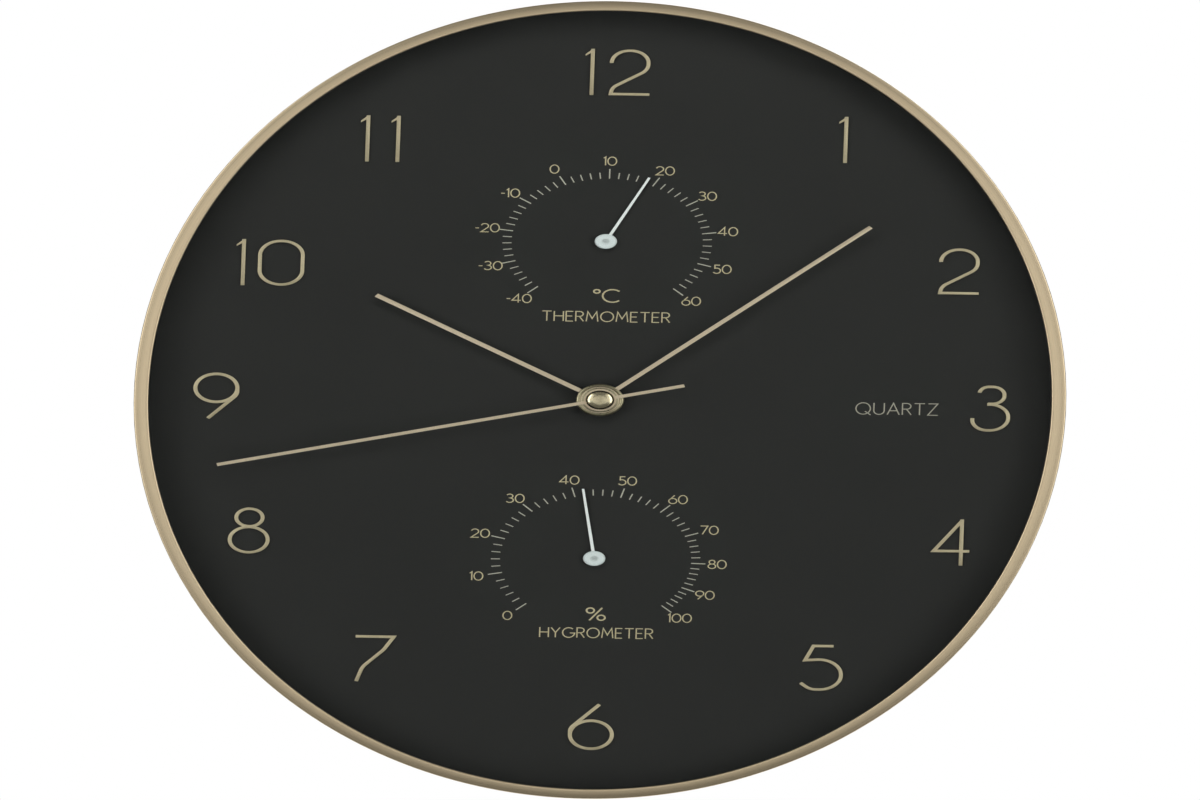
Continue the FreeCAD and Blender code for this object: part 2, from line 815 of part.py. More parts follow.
def pivot_cap(side):
    """Round cap with a rounded edge and a small dimple."""
    z = side * sensor_offset
    cap = rod(cap_radius, cap_front_y, pointer_front_y, 0, z)
    cap = cap.makeFillet(cap_round, edges_at(cap, cap_front_y, cap_radius))
    cap = cap.cut(rod(cap_dimple_radius, cap_front_y - cut_overrun, cap_front_y + cap_dimple_depth, 0, z))
    bore_front = pointer_front_y - (cap_thickness - cap_dimple_depth) / 2
    return cap.cut(rod(staff_radius + press_gap, bore_front, pointer_front_y + cut_overrun, 0, z))


housing_rear_y = chassis_rear_y + housing_depth
housing_floor_y = housing_rear_y - housing_wall
coil_front_y = chassis_rear_y + (housing_depth - housing_boss_height - housing_wall - coil_width) / 2
coil_inner_radius = staff_collar_radius + coil_gap + coil_strip / 2


def staff(side):
    """Steel staff from the housing's boss to the cap, with the collar that the coil grips."""
    z = side * sensor_offset
    front = pointer_front_y - (cap_thickness - cap_dimple_depth) / 2
    pin = rod(staff_radius, front, housing_floor_y - press_gap, 0, z)
    return pin.fuse(rod(staff_collar_radius, coil_front_y, coil_front_y + coil_width, 0, z))


def spiral_edges(shift, z):
    """Chain of half circles about two centres, moved outwards by shift."""
    edges = []
    for half_turn in range(2 * coil_turns):
        odd = half_turn % 2
        radius = coil_inner_radius + half_turn * coil_pitch / 2 + shift
        centre_x = odd * coil_pitch / 2
        way = -1 if odd else 1
        start = Vector(centre_x + way * radius, 0, z)
        middle = Vector(centre_x, 0, z + way * radius)
        finish = Vector(centre_x - way * radius, 0, z)
        edges.append(Part.Arc(start, middle, finish).toShape())
    return edges


def sensor_coil(side):
    """Flat spiral strip between the staff's collar and the housing's post."""
    z = side * sensor_offset
    half = coil_strip / 2
    inner = spiral_edges(-half, z)
    outer = spiral_edges(half, z)
    first_x = coil_inner_radius
    last_x = coil_inner_radius + coil_turns * coil_pitch
    caps = [Part.makeLine(Vector(x - half, 0, z), Vector(x + half, 0, z)) for x in (first_x, last_x)]
    face = Part.Face(Part.Wire(Part.__sortEdges__(inner + outer + caps)))
    face.translate(Vector(0, coil_front_y, 0))
    return face.extrude(Vector(0, coil_width, 0))


def sensor_housing(side):
    """Cup open to the chassis, with a bearing boss, vents, two ears and the coil's post."""
    z = side * sensor_offset
    cup = rod(housing_radius, chassis_rear_y, housing_rear_y, 0, z)
    reach = housing_radius + housing_ear_radius
    ear_rear_y = chassis_rear_y + housing_ear_thickness
    half_ear = housing_ear_radius
    cup = cup.fuse(block(-reach, reach, chassis_rear_y, ear_rear_y, z - half_ear, z + half_ear))
    for x in (-reach, reach):
        cup = cup.fuse(rod(housing_ear_radius, chassis_rear_y, ear_rear_y, x, z))
    inner_radius = housing_radius - housing_wall
    cup = cup.cut(rod(inner_radius, chassis_rear_y - cut_overrun, housing_floor_y, 0, z))
    for x in (-reach, reach):
        cup = cup.cut(rod(screw_hole_radius, chassis_rear_y - cut_overrun, 0, x, z))
    boss = rod(housing_boss_radius, housing_floor_y - housing_boss_height, housing_floor_y, 0, z)
    post_start = coil_inner_radius + coil_turns * coil_pitch + coil_strip / 2 + coil_gap
    post = block(post_start, inner_radius + housing_wall / 2, coil_front_y, housing_floor_y,
                 z, z + coil_post_width)
    cup = cup.fuse(boss).fuse(post)
    cup = cup.cut(rod(staff_radius + running_gap, chassis_rear_y, housing_floor_y, 0, z))
    for index in range(vent_count):
        slot = block(-vent_width / 2, vent_width / 2, housing_floor_y - cut_overrun / 2,
                     housing_rear_y + cut_overrun, z + vent_start, z + vent_start + vent_length)
        cup = cup.cut(turned(slot, 360.0 / vent_count * index, 0, z))
    return cup.removeSplitter()


# Gears

def polar(distance, direction, x=0.0, z=0.0):
    """Point at a distance and a direction, anticlockwise from +X in the plane of the dial."""
    turn = math.radians(direction)
    return x + distance * math.cos(turn), z + distance * math.sin(turn)


def gear(teeth, module, level_from, level_to, centre=(0.0, 0.0), phase=0.0):
    """Spur gear between two levels, with a tooth centred on the phase direction."""
    pitch = 360.0 / teeth
    radius = module * teeth / 2
    root = radius - tooth_root_share * module
    tip = radius + tooth_rise_share * module
    rise = ((root, -tooth_root_half_share), (radius, -tooth_pitch_half_share), (tip, -tooth_tip_half_share))
    fall = ((tip, tooth_tip_half_share), (radius, tooth_pitch_half_share), (root, tooth_root_half_share))
    outline = []
    for index in range(teeth):
        for reach, turn_share in rise + fall:
            outline.append(polar(reach, phase + pitch * (index + turn_share), *centre))
    return slab(outline, gear_floor_y + level_from, gear_floor_y + level_to)


def mesh_phase(phase, teeth, other_teeth, direction):
    """Phase of a gear that meshes with one of known phase, lying in a direction from it."""
    lead = (phase - direction) % (360.0 / teeth)
    return direction + 180.0 - lead * teeth / other_teeth + 180.0 / other_teeth


def pin(radius, level_from, level_to, centre=(0.0, 0.0)):
    """Cylinder between two levels of the movement."""
    return rod(radius, gear_floor_y + level_from, gear_floor_y + level_to, *centre)


third_fast_module = 2 * third_distance / (second_pinion_teeth + third_wheel_teeth)
third_slow_module = 2 * third_distance / (third_pinion_teeth + centre_wheel_teeth)
fifth_distance = fast_module * (second_wheel_teeth + fifth_pinion_teeth) / 2
rotor_distance = fast_module * (fifth_wheel_teeth + rotor_pinion_teeth) / 2
minute_wheel_distance = motion_module * (cannon_pinion_teeth + minute_wheel_teeth) / 2
hour_module = 2 * minute_wheel_distance / (minute_pinion_teeth + hour_wheel_teeth)
setting_distance = motion_module * (minute_wheel_teeth + setting_gear_teeth) / 2
fifth_place = polar(fifth_distance, fifth_direction)
rotor_place = polar(rotor_distance, rotor_direction, *fifth_place)
third_place = polar(third_distance, third_direction)
minute_wheel_place = polar(minute_wheel_distance, minute_wheel_direction)
setting_place = polar(setting_distance, setting_direction, *minute_wheel_place)

cannon_phase = minute_wheel_direction
minute_wheel_phase = mesh_phase(cannon_phase, cannon_pinion_teeth, minute_wheel_teeth,
                                minute_wheel_direction)
setting_phase = mesh_phase(minute_wheel_phase, minute_wheel_teeth, setting_gear_teeth, setting_direction)
hour_phase = mesh_phase(minute_wheel_direction, minute_pinion_teeth, hour_wheel_teeth,
                        minute_wheel_direction + 180.0)
third_wheel_phase = mesh_phase(third_direction, second_pinion_teeth, third_wheel_teeth, third_direction)
centre_phase = mesh_phase(third_direction, third_pinion_teeth, centre_wheel_teeth, third_direction + 180.0)
fifth_pinion_phase = mesh_phase(fifth_direction, second_wheel_teeth, fifth_pinion_teeth, fifth_direction)
rotor_phase = mesh_phase(rotor_direction, fifth_wheel_teeth, rotor_pinion_teeth, rotor_direction)


def seconds_wheel():
    """Wheel, pinion and long steel arbor that carries the second hand."""
    wheel = gear(second_wheel_teeth, fast_module, second_wheel_level,
                 second_wheel_level + second_wheel_thickness, phase=fifth_direction)
    pinion = gear(second_pinion_teeth, third_fast_module, second_pinion_level, second_wheel_level,
                  phase=third_direction)
    front = second_hand_front_y - second_cap_height / 2 + press_gap
    arbor = rod(second_arbor_radius, front, gear_floor_y + arbor_end_level)
    return wheel.fuse(pinion).fuse(arbor)


def fifth_wheel():
    wheel = gear(fifth_wheel_teeth, fast_module, fifth_wheel_level,
                 fifth_wheel_level + fifth_wheel_thickness, fifth_place, rotor_direction)
    pinion = gear(fifth_pinion_teeth, fast_module, fifth_pinion_level, fifth_wheel_level, fifth_place,
                  fifth_pinion_phase)
    return wheel.fuse(pinion).fuse(pin(arbor_radius, middle_plate_level, arbor_end_level, fifth_place))


def rotor():
    """Round magnet and its pinion on one arbor."""
    magnet_end = rotor_magnet_level + rotor_magnet_length
    magnet = pin(magnet_radius, rotor_magnet_level, magnet_end, rotor_place)
    pinion = gear(rotor_pinion_teeth, fast_module, magnet_end, rotor_pinion_end_level, rotor_place,
                  rotor_phase)
    return magnet.fuse(pinion).fuse(pin(arbor_radius, middle_plate_level, arbor_end_level, rotor_place))


def third_wheel():
    wheel = gear(third_wheel_teeth, third_fast_module, third_wheel_level,
                 third_wheel_level + third_wheel_thickness, third_place, third_wheel_phase)
    pinion = gear(third_pinion_teeth, third_slow_module, third_pinion_level, third_wheel_level, third_place,
                  third_direction)
    return wheel.fuse(pinion).fuse(pin(arbor_radius, arbor_front_level, arbor_end_level, third_place))


def centre_wheel():
    """Wheel that runs on the minute arbor, to which its clutch grips it."""
    wheel = gear(centre_wheel_teeth, third_slow_module, centre_wheel_level,
                 centre_wheel_level + centre_wheel_thickness, phase=centre_phase)
    return wheel.cut(pin(minute_arbor_radius + running_gap, 0, arbor_end_level))


def minute_arbor():
    """Hollow arbor with the cannon pinion; it carries the minute hand."""
    front = minute_hand_front_y - tube_proud
    arbor = rod(minute_arbor_radius, front, gear_floor_y + minute_arbor_end_level)
    pinion = gear(cannon_pinion_teeth, motion_module, cannon_pinion_level,
                  cannon_pinion_level + cannon_pinion_length, phase=cannon_phase)
    return arbor.fuse(pinion).cut(rod(second_arbor_radius + running_gap, front_y, 0))


def minute_wheel():
    """Idler wheel of the motion work, on the front case's post."""
    wheel = gear(minute_wheel_teeth, motion_module, minute_wheel_level,
                 minute_wheel_level + minute_wheel_thickness, minute_wheel_place, minute_wheel_phase)
    pinion = gear(minute_pinion_teeth, hour_module, minute_pinion_level, minute_wheel_level,
                  minute_wheel_place, minute_wheel_direction)
    bore = pin(minute_post_radius + running_gap, 0, arbor_end_level, minute_wheel_place)
    return wheel.fuse(pinion).cut(bore)


def hour_wheel():
    """Wheel with the long tube that carries the hour hand."""
    wheel = gear(hour_wheel_teeth, hour_module, hour_wheel_level, hour_wheel_level + hour_wheel_thickness,
                 phase=hour_phase)
    front = hour_hand_front_y - tube_proud
    pipe = rod(hour_tube_radius, front, gear_floor_y + hour_wheel_level + hour_wheel_thickness)
    return wheel.fuse(pipe).cut(rod(minute_arbor_radius + running_gap, front_y, 0))


def setting_gear():
    wheel = gear(setting_gear_teeth, motion_module, minute_wheel_level,
                 minute_wheel_level + minute_wheel_thickness, setting_place, setting_phase)
    shaft_front = gear_floor_y + setting_shaft_level
    shaft_rear = movement_rear_y + knob_space + knob_thickness / 2
    return wheel.fuse(rod(setting_shaft_radius, shaft_front, shaft_rear, *setting_place))


def setting_knob():
    """Fluted knob on the rear end of the setting shaft."""
    x, z = setting_place
    front = movement_rear_y + knob_space
    knob = rod(knob_radius, front, front + knob_thickness, x, z)
    for index in range(knob_flutes):
        flute_x, flute_z = polar(knob_radius, 360.0 / knob_flutes * index, x, z)
        knob = knob.cut(rod(knob_flute_radius, front - cut_overrun, front + knob_thickness + cut_overrun,
                            flute_x, flute_z))
    bore_end = front + knob_thickness / 2
    return knob.cut(rod(setting_shaft_radius + press_gap, front - cut_overrun, bore_end, x, z))


# Movement case

def movement_front_case():
    """Tray with the threaded bushing, the gear posts and the cell's bay."""
    tray = block(-movement_half_width, movement_half_width, movement_front_y, cover_front_y,
                 -movement_half_height, movement_half_height)
    corner_edges = [edge for edge in tray.Edges if edge.BoundBox.YLength > movement_wall]
    tray = tray.makeFillet(movement_corner, corner_edges)
    tray = tray.cut(block(-room_half_width, room_half_width, gear_floor_y, 0, room_low_z, room_top_z))
    tray = tray.cut(block(-room_half_width, room_half_width, gear_floor_y, 0, -room_top_z, partition_z))
    notch = contact_thickness + contact_gap
    for side in (1, -1):
        low_x, high_x = sorted((side * room_half_width, side * (room_half_width - notch)))
        tray = tray.cut(block(low_x, high_x, cell_y - contact_width / 2, 0, partition_z - cut_overrun,
                              room_low_z + cut_overrun))
    tray = tray.fuse(rod(bushing_radius, bushing_front_y, gear_floor_y))
    for x in (-pillar_half_pitch, pillar_half_pitch):
        for z in (pillar_low_z, pillar_high_z):
            tray = tray.fuse(pin(pillar_radius, 0, middle_plate_level, (x, z)))
    tray = tray.fuse(pin(minute_post_radius, 0, post_top_level, minute_wheel_place))
    tray = tray.fuse(pin(gear_boss_radius, 0, gear_boss_height, third_place))
    tray = tray.fuse(pin(setting_post_radius, 0, cannon_pinion_level, setting_place))
    for radius, level, place in ((arbor_radius, arbor_front_level, third_place),
                                 (setting_shaft_radius, setting_shaft_level, setting_place)):
        tray = tray.cut(pin(radius + running_gap, level - seat_gap, arbor_end_level, place))
    return tray.cut(rod(hour_tube_radius + running_gap, front_y, 0)).removeSplitter()


def movement_rear_cover():
    """Cover of the gear room, with the rear pivots' bosses and the setting shaft's hole."""
    cover = block(-movement_half_width, movement_half_width, cover_front_y, movement_rear_y, partition_z,
                  movement_half_height)
    inner_level = cover_front_y - gear_floor_y
    pivots = [(place, arbor_radius) for place in (third_place, fifth_place, rotor_place)]
    for place, radius in pivots + [((0.0, 0.0), second_arbor_radius)]:
        cover = cover.fuse(pin(gear_boss_radius, inner_level - gear_boss_height, inner_level, place))
        cover = cover.cut(pin(radius + running_gap, 0, arbor_end_level + seat_gap, place))
    return cover.cut(rod(setting_shaft_radius + running_gap, front_y, 0, *setting_place))


def middle_plate():
    """Plate between the slow and the fast wheels, with the posts of the stator and the board."""
    top = middle_plate_level + middle_plate_thickness
    half_width = room_half_width - loose_gap
    plate = block(-half_width, half_width, gear_floor_y + middle_plate_level, gear_floor_y + top,
                  room_low_z + loose_gap, pillar_high_z + pillar_radius)
    for x in (-stator_post_half_pitch, stator_post_half_pitch):
        plate = plate.fuse(pin(stator_post_radius, top, stator_level, (x, stator_post_z)))
    for z in board_post_heights():
        plate = plate.fuse(pin(board_post_radius, top, board_level, (board_low_x + board_width / 2, z)))
    third_hole = third_slow_module * third_pinion_teeth / 2 + third_slow_module + loose_gap
    holes = ((minute_arbor_radius + loose_gap, (0.0, 0.0)), (third_hole, third_place),
             (setting_shaft_radius + loose_gap, setting_place), (arbor_radius + running_gap, fifth_place),
             (arbor_radius + running_gap, rotor_place))
    for radius, place in holes:
        plate = plate.cut(pin(radius, 0, top + cut_overrun, place))
    return plate


def board_post_heights():
    inset = 2 * board_post_radius
    return board_low_z + inset, board_low_z + board_height - inset


# Motor

stator_end_level = stator_level + stator_thickness
core_mid_level = stator_end_level + core_thickness / 2


def stator():
    """Flat U of laminated steel with the rotor's hole."""
    outline = [(-stator_half_width, stator_arm_top_z), (-stator_half_width, stator_shoulder_z),
               (-stator_waist_half_width, stator_low_z), (stator_waist_half_width, stator_low_z),
               (stator_half_width, stator_shoulder_z), (stator_half_width, stator_arm_top_z),
               (stator_arm_inner, stator_arm_top_z), (stator_arm_inner, stator_arm_low_z),
               (-stator_arm_inner, stator_arm_low_z), (-stator_arm_inner, stator_arm_top_z)]
    plate = slab(outline, gear_floor_y + stator_level, gear_floor_y + stator_end_level)
    return plate.cut(pin(stator_hole_radius, 0, arbor_end_level, rotor_place))


def core_block(grow, half_length):
    """Box along the coil's axis, larger than the core by the same amount on all four sides."""
    half_height = core_height / 2 + grow
    half_depth = core_thickness / 2 + grow
    mid_y = gear_floor_y + core_mid_level
    return block(-half_length, half_length, mid_y - half_depth, mid_y + half_depth,
                 coil_axis_z - half_height, coil_axis_z + half_height)


def coil_disc(radius, x_from, x_to):
    """Cylinder on the coil's axis."""
    start = Vector(x_from, gear_floor_y + core_mid_level, coil_axis_z)
    return Part.makeCylinder(radius, x_to - x_from, start, Vector(1, 0, 0))


def coil_core():
    return core_block(0, core_half_length)


def coil_bobbin():
    """Square tube with two round flanges."""
    spool = core_block(bobbin_clearance + bobbin_wall / 2, bobbin_half_length)
    spool = spool.fuse(coil_disc(bobbin_flange_radius, -bobbin_half_length,
                                 -bobbin_half_length + bobbin_flange_thickness))
    spool = spool.fuse(coil_disc(bobbin_flange_radius, bobbin_half_length - bobbin_flange_thickness,
                                 bobbin_half_length))
    return spool.cut(core_block(bobbin_clearance, core_half_length)).removeSplitter()


def coil_winding():
    """The wire's outer form between the flanges."""
    reach = bobbin_half_length - bobbin_flange_thickness
    wire = coil_disc(winding_radius, -reach, reach)
    return wire.cut(core_block(bobbin_clearance + bobbin_wall / 2, core_half_length))


# Circuit and cell

cell_y = gear_floor_y + cell_floor_gap + cell_radius
cell_z = (partition_z - room_top_z) / 2


def circuit_board():
    return block(board_low_x, board_low_x + board_width, gear_floor_y + board_level,
                 gear_floor_y + board_level + board_thickness, board_low_z, board_low_z + board_height)


def quartz_crystal():
    """Small metal can that lies on the board."""
    rear = board_level + board_thickness
    start = Vector(board_low_x + board_width / 2, gear_floor_y + rear + crystal_radius,
                   board_low_z + board_height - crystal_length - crystal_radius)
    return Part.makeCylinder(crystal_radius, crystal_length, start, Vector(0, 0, 1))


def chip_cover():
    """Black drop of resin over the chip."""
    rear = board_level + board_thickness
    place = (board_low_x + board_width / 2, board_low_z + board_height / 2 - chip_radius)
    drop = pin(chip_radius, rear, rear + chip_height, place)
    return drop.makeFillet(chip_height / 2, edges_at(drop, gear_floor_y + rear + chip_height, chip_radius))


def battery():
    """Cell of the common AA size, lying along X with its nub to the right."""
    start = Vector(-cell_length / 2, cell_y, cell_z)
    can = Part.makeCylinder(cell_radius, cell_length, start, Vector(1, 0, 0))
    can = can.makeFillet(cell_round, [edge for edge in can.Edges if edge.Closed])
    nub_start = Vector(cell_length / 2 - cell_round, cell_y, cell_z)
    nub = Part.makeCylinder(cell_nub_radius, cell_nub_length + cell_round, nub_start, Vector(1, 0, 0))
    return can.fuse(nub)


def contact(side, reach):
    """Spring contact: a plate on the bay's end wall, a bump for the cell, and a leg up to the board."""
    wall_x = side * room_half_width
    face_x = wall_x - side * contact_thickness
    low_x, high_x = sorted((wall_x, face_x))
    plate = block(low_x, high_x, cell_y - contact_width / 2, cell_y + contact_width / 2,
                  cell_z - contact_height / 2, cell_z + contact_height / 2)
    leg = block(low_x, high_x, cell_y - contact_leg_width / 2, cell_y + contact_leg_width / 2,
                cell_z, partition_z + contact_leg_rise)
    bump = Part.makeCone(contact_bump_radius, contact_bump_radius / 2, reach, Vector(face_x, cell_y, cell_z),
                         Vector(-side, 0, 0))
    return plate.fuse(leg).fuse(bump)


def positive_contact():
    return contact(1, room_half_width - contact_thickness - cell_length / 2 - cell_nub_length - contact_gap)


def negative_contact():
    return contact(-1, room_half_width - contact_thickness - cell_length / 2 - contact_gap)


# Nut and washers at the bushing

def shaft_nut():
    """Hexagon nut on the bushing."""
    corner = nut_flats / 2 / math.cos(math.pi / nut_sides)
    outline = [polar(corner, 360.0 / nut_sides * index) for index in range(nut_sides)]
    body = slab(outline, nut_front_y, nut_front_y + nut_thickness)
    return body.cut(rod(bushing_radius + press_gap, front_y, 0))


def brass_washer():
    return tube(washer_radius, bushing_radius + seat_gap, dial_front_y - washer_thickness, dial_front_y)


def rubber_washer():
    return tube(rubber_washer_radius, bushing_radius + seat_gap, chassis_rear_y, movement_front_y)


pieces = {
    "bezel": bezel, "case_rim": case_rim, "lens": lens, "spacer_ring": spacer_ring, "dial": dial,
    "chassis": chassis, "case_screws": case_screws, "hanger_plate": hanger_plate,
    "hour_hand": hour_hand, "minute_hand": minute_hand, "second_hand": second_hand,
    "shaft_nut": shaft_nut, "brass_washer": brass_washer, "rubber_washer": rubber_washer,
    "movement_front_case": movement_front_case, "movement_rear_cover": movement_rear_cover,
    "middle_plate": middle_plate, "seconds_wheel": seconds_wheel, "fifth_wheel": fifth_wheel,
    "rotor": rotor, "third_wheel": third_wheel, "centre_wheel": centre_wheel,
    "minute_arbor": minute_arbor, "minute_wheel": minute_wheel, "hour_wheel": hour_wheel,
    "setting_gear": setting_gear, "setting_knob": setting_knob, "stator": stator,
    "coil_core": coil_core, "coil_bobbin": coil_bobbin, "coil_winding": coil_winding,
    "circuit_board": circuit_board, "quartz_crystal": quartz_crystal, "chip_cover": chip_cover,
    "battery": battery, "positive_contact": positive_contact, "negative_contact": negative_contact,
}

sensors = {"thermometer": (1, thermometer_angle), "hygrometer": (-1, hygrometer_angle)}

os.makedirs("parts", exist_ok=True)
for name, make in pieces.items():
    keep(name, make())
for hour in range(1, hour_count + 1):
    keep("numeral_" + str(hour), numeral(hour))
for name, (side, angle) in sensors.items():
    keep(name + "_pointer", pointer(side, angle))
    keep(name + "_cap", pivot_cap(side))
    keep(name + "_staff", staff(side))
    keep(name + "_coil", sensor_coil(side))
    keep(name + "_housing", sensor_housing(side))
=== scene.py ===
"""Looks of the oval wall clock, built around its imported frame. Metres, +Z up, the dial faces -Y."""
import json
import math
import bmesh
import bpy
from mathutils import Matrix, Vector

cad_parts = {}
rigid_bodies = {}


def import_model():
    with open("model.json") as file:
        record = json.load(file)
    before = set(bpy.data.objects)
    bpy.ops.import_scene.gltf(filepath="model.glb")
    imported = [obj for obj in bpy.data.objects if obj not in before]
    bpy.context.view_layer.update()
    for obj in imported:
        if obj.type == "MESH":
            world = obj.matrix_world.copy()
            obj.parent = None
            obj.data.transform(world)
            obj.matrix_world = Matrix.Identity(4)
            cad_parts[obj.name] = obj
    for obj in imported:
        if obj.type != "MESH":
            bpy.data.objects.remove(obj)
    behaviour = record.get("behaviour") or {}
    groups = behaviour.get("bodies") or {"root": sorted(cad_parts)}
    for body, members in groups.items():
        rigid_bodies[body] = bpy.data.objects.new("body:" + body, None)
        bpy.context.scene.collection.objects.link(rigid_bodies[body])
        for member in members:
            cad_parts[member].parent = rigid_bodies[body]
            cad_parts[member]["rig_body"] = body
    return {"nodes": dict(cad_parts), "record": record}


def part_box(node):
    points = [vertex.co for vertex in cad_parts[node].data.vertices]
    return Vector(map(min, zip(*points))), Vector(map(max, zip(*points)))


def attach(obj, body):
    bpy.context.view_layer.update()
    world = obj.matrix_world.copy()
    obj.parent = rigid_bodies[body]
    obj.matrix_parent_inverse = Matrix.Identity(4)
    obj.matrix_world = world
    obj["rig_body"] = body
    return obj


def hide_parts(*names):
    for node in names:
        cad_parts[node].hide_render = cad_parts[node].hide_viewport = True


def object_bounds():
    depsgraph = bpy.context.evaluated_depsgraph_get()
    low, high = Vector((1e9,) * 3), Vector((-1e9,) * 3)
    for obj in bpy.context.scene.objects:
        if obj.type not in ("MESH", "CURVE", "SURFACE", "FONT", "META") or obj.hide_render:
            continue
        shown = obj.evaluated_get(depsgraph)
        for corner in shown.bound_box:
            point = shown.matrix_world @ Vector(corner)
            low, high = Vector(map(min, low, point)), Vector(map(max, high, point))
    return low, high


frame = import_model()
cad_low, cad_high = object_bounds()

MM = 0.001
SCENE = bpy.context.scene

# Places read from the frame
DIAL_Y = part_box("dial")[0].y
arbor_low, arbor_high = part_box("minute_arbor")
HAND_X = (arbor_low.x + arbor_high.x) / 2
HAND_Z = (arbor_low.z + arbor_high.z) / 2
case_low, case_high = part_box("case_rim")
HALF_WIDTH = (case_high.x - case_low.x) / 2
HALF_HEIGHT = (case_high.z - case_low.z) / 2
CENTRE = Vector((HAND_X, 0, HAND_Z))


def middle(node):
    """Middle of a node's box, on the dial's plane."""
    low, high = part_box(node)
    return Vector(((low.x + high.x) / 2, DIAL_Y, (low.z + high.z) / 2))


# Materials

def new_material(name):
    """Material with one shader, its node list and its links."""
    material = bpy.data.materials.new(name)
    material.use_nodes = True
    nodes = material.node_tree.nodes
    return material, nodes, material.node_tree.links, nodes["Principled BSDF"]


def place_node(nodes, links, scale):
    """Object coordinates, stretched by a scale along each axis."""
    source = nodes.new("ShaderNodeTexCoord")
    mapping = nodes.new("ShaderNodeMapping")
    mapping.inputs["Scale"].default_value = scale
    links.new(source.outputs["Object"], mapping.inputs["Vector"])
    return mapping.outputs["Vector"]


def noise(nodes, links, vector, scale, detail=3.0, roughness=0.55):
    """Noise at a scale over a vector, as a factor."""
    texture = nodes.new("ShaderNodeTexNoise")
    texture.inputs["Scale"].default_value = scale
    texture.inputs["Detail"].default_value = detail
    texture.inputs["Roughness"].default_value = roughness
    links.new(vector, texture.inputs["Vector"])
    return texture.outputs["Fac"]


def ramp(nodes, links, factor, stops):
    """Colour ramp from (position, colour) stops."""
    node = nodes.new("ShaderNodeValToRGB")
    while len(node.color_ramp.elements) < len(stops):
        node.color_ramp.elements.new(0.5)
    for element, (position, colour) in zip(node.color_ramp.elements, stops):
        element.position = position
        element.color = (*colour, 1)
    links.new(factor, node.inputs["Fac"])
    return node.outputs["Color"]


# Most of a noise's values lie between these
NOISE_LOW, NOISE_HIGH = 0.3, 0.7


def spread(nodes, links, factor, low, high):
    """Noise spread over a range."""
    node = nodes.new("ShaderNodeMapRange")
    node.inputs["From Min"].default_value = NOISE_LOW
    node.inputs["From Max"].default_value = NOISE_HIGH
    node.inputs["To Min"].default_value = low
    node.inputs["To Max"].default_value = high
    links.new(factor, node.inputs["Value"])
    return node.outputs["Result"]


def bump(nodes, links, shader, height, distance, strength=1.0):
    """Surface relief from a height factor."""
    node = nodes.new("ShaderNodeBump")
    node.inputs["Distance"].default_value = distance
    node.inputs["Strength"].default_value = strength
    links.new(height, node.inputs["Height"])
    links.new(node.outputs["Normal"], shader.inputs["Normal"])


def shade(colour, amount):
    """Colour made darker or lighter by a share."""
    return tuple(min(1.0, channel * amount) for channel in colour)


EVEN = (1, 1, 1)
BROAD_GRAIN, BROAD_DETAIL, BROAD_SHARE = 28.0, 2.0, 0.35
ROUGH_SPREAD = 0.12


def grained(name, colour, rough, metal=0.0, grain=900.0, stretch=EVEN, vary=0.12, depth=0.02 * MM,
            specular=0.5):
    """Material with a fine grain in its colour, roughness and surface."""
    material, nodes, links, shader = new_material(name)
    fine = noise(nodes, links, place_node(nodes, links, stretch), grain)
    broad = noise(nodes, links, place_node(nodes, links, EVEN), BROAD_GRAIN, BROAD_DETAIL)
    mix = nodes.new("ShaderNodeMix")
    mix.inputs["Factor"].default_value = BROAD_SHARE
    links.new(fine, mix.inputs["A"])
    links.new(broad, mix.inputs["B"])
    stops = [(NOISE_LOW, shade(colour, 1 - vary)), (NOISE_HIGH, shade(colour, 1 + vary))]
    links.new(ramp(nodes, links, mix.outputs["Result"], stops), shader.inputs["Base Color"])
    smooth, coarse = rough * (1 - ROUGH_SPREAD), min(1.0, rough * (1 + ROUGH_SPREAD))
    links.new(spread(nodes, links, fine, smooth, coarse), shader.inputs["Roughness"])
    bump(nodes, links, shader, fine, depth)
    shader.inputs["Metallic"].default_value = metal
    shader.inputs["Specular IOR Level"].default_value = specular
    return material


def around_oval(nodes, links):
    """Share of the way from the oval's middle to its edge, for marks that run round the case."""
    source = nodes.new("ShaderNodeTexCoord")
    split = nodes.new("ShaderNodeSeparateXYZ")
    links.new(source.outputs["Object"], split.inputs["Vector"])
    squares = []
    for axis, centre, half in (("X", HAND_X, HALF_WIDTH), ("Z", HAND_Z, HALF_HEIGHT)):
        shift = nodes.new("ShaderNodeMath")
        shift.operation = "SUBTRACT"
        shift.inputs[1].default_value = centre
        links.new(split.outputs[axis], shift.inputs[0])
        scale = nodes.new("ShaderNodeMath")
        scale.operation = "DIVIDE"
        scale.inputs[1].default_value = half
        links.new(shift.outputs["Value"], scale.inputs[0])
        square = nodes.new("ShaderNodeMath")
        square.operation = "POWER"
        square.inputs[1].default_value = 2
        links.new(scale.outputs["Value"], square.inputs[0])
        squares.append(square)
    total = nodes.new("ShaderNodeMath")
    total.operation = "ADD"
    for index, square in enumerate(squares):
        links.new(square.outputs["Value"], total.inputs[index])
    root = nodes.new("ShaderNodeMath")
    root.operation = "SQRT"
    links.new(total.outputs["Value"], root.inputs[0])
    return root.outputs["Value"], split.outputs["Y"]


# Lines per case half size across the case, and per metre of its depth
BRUSH_SCALE = (900, 5200, 1)
# Painted shade across the front ring's band: the share of its colour kept, from its outer edge (0) to its
# inner edge (1)
PAINTED_SHADE_STOPS = [(0.0, 0.55), (0.12, 0.68), (0.3, 0.71), (0.52, 0.86), (0.8, 1.0), (0.9, 0.9), (1.0, 0.3)]


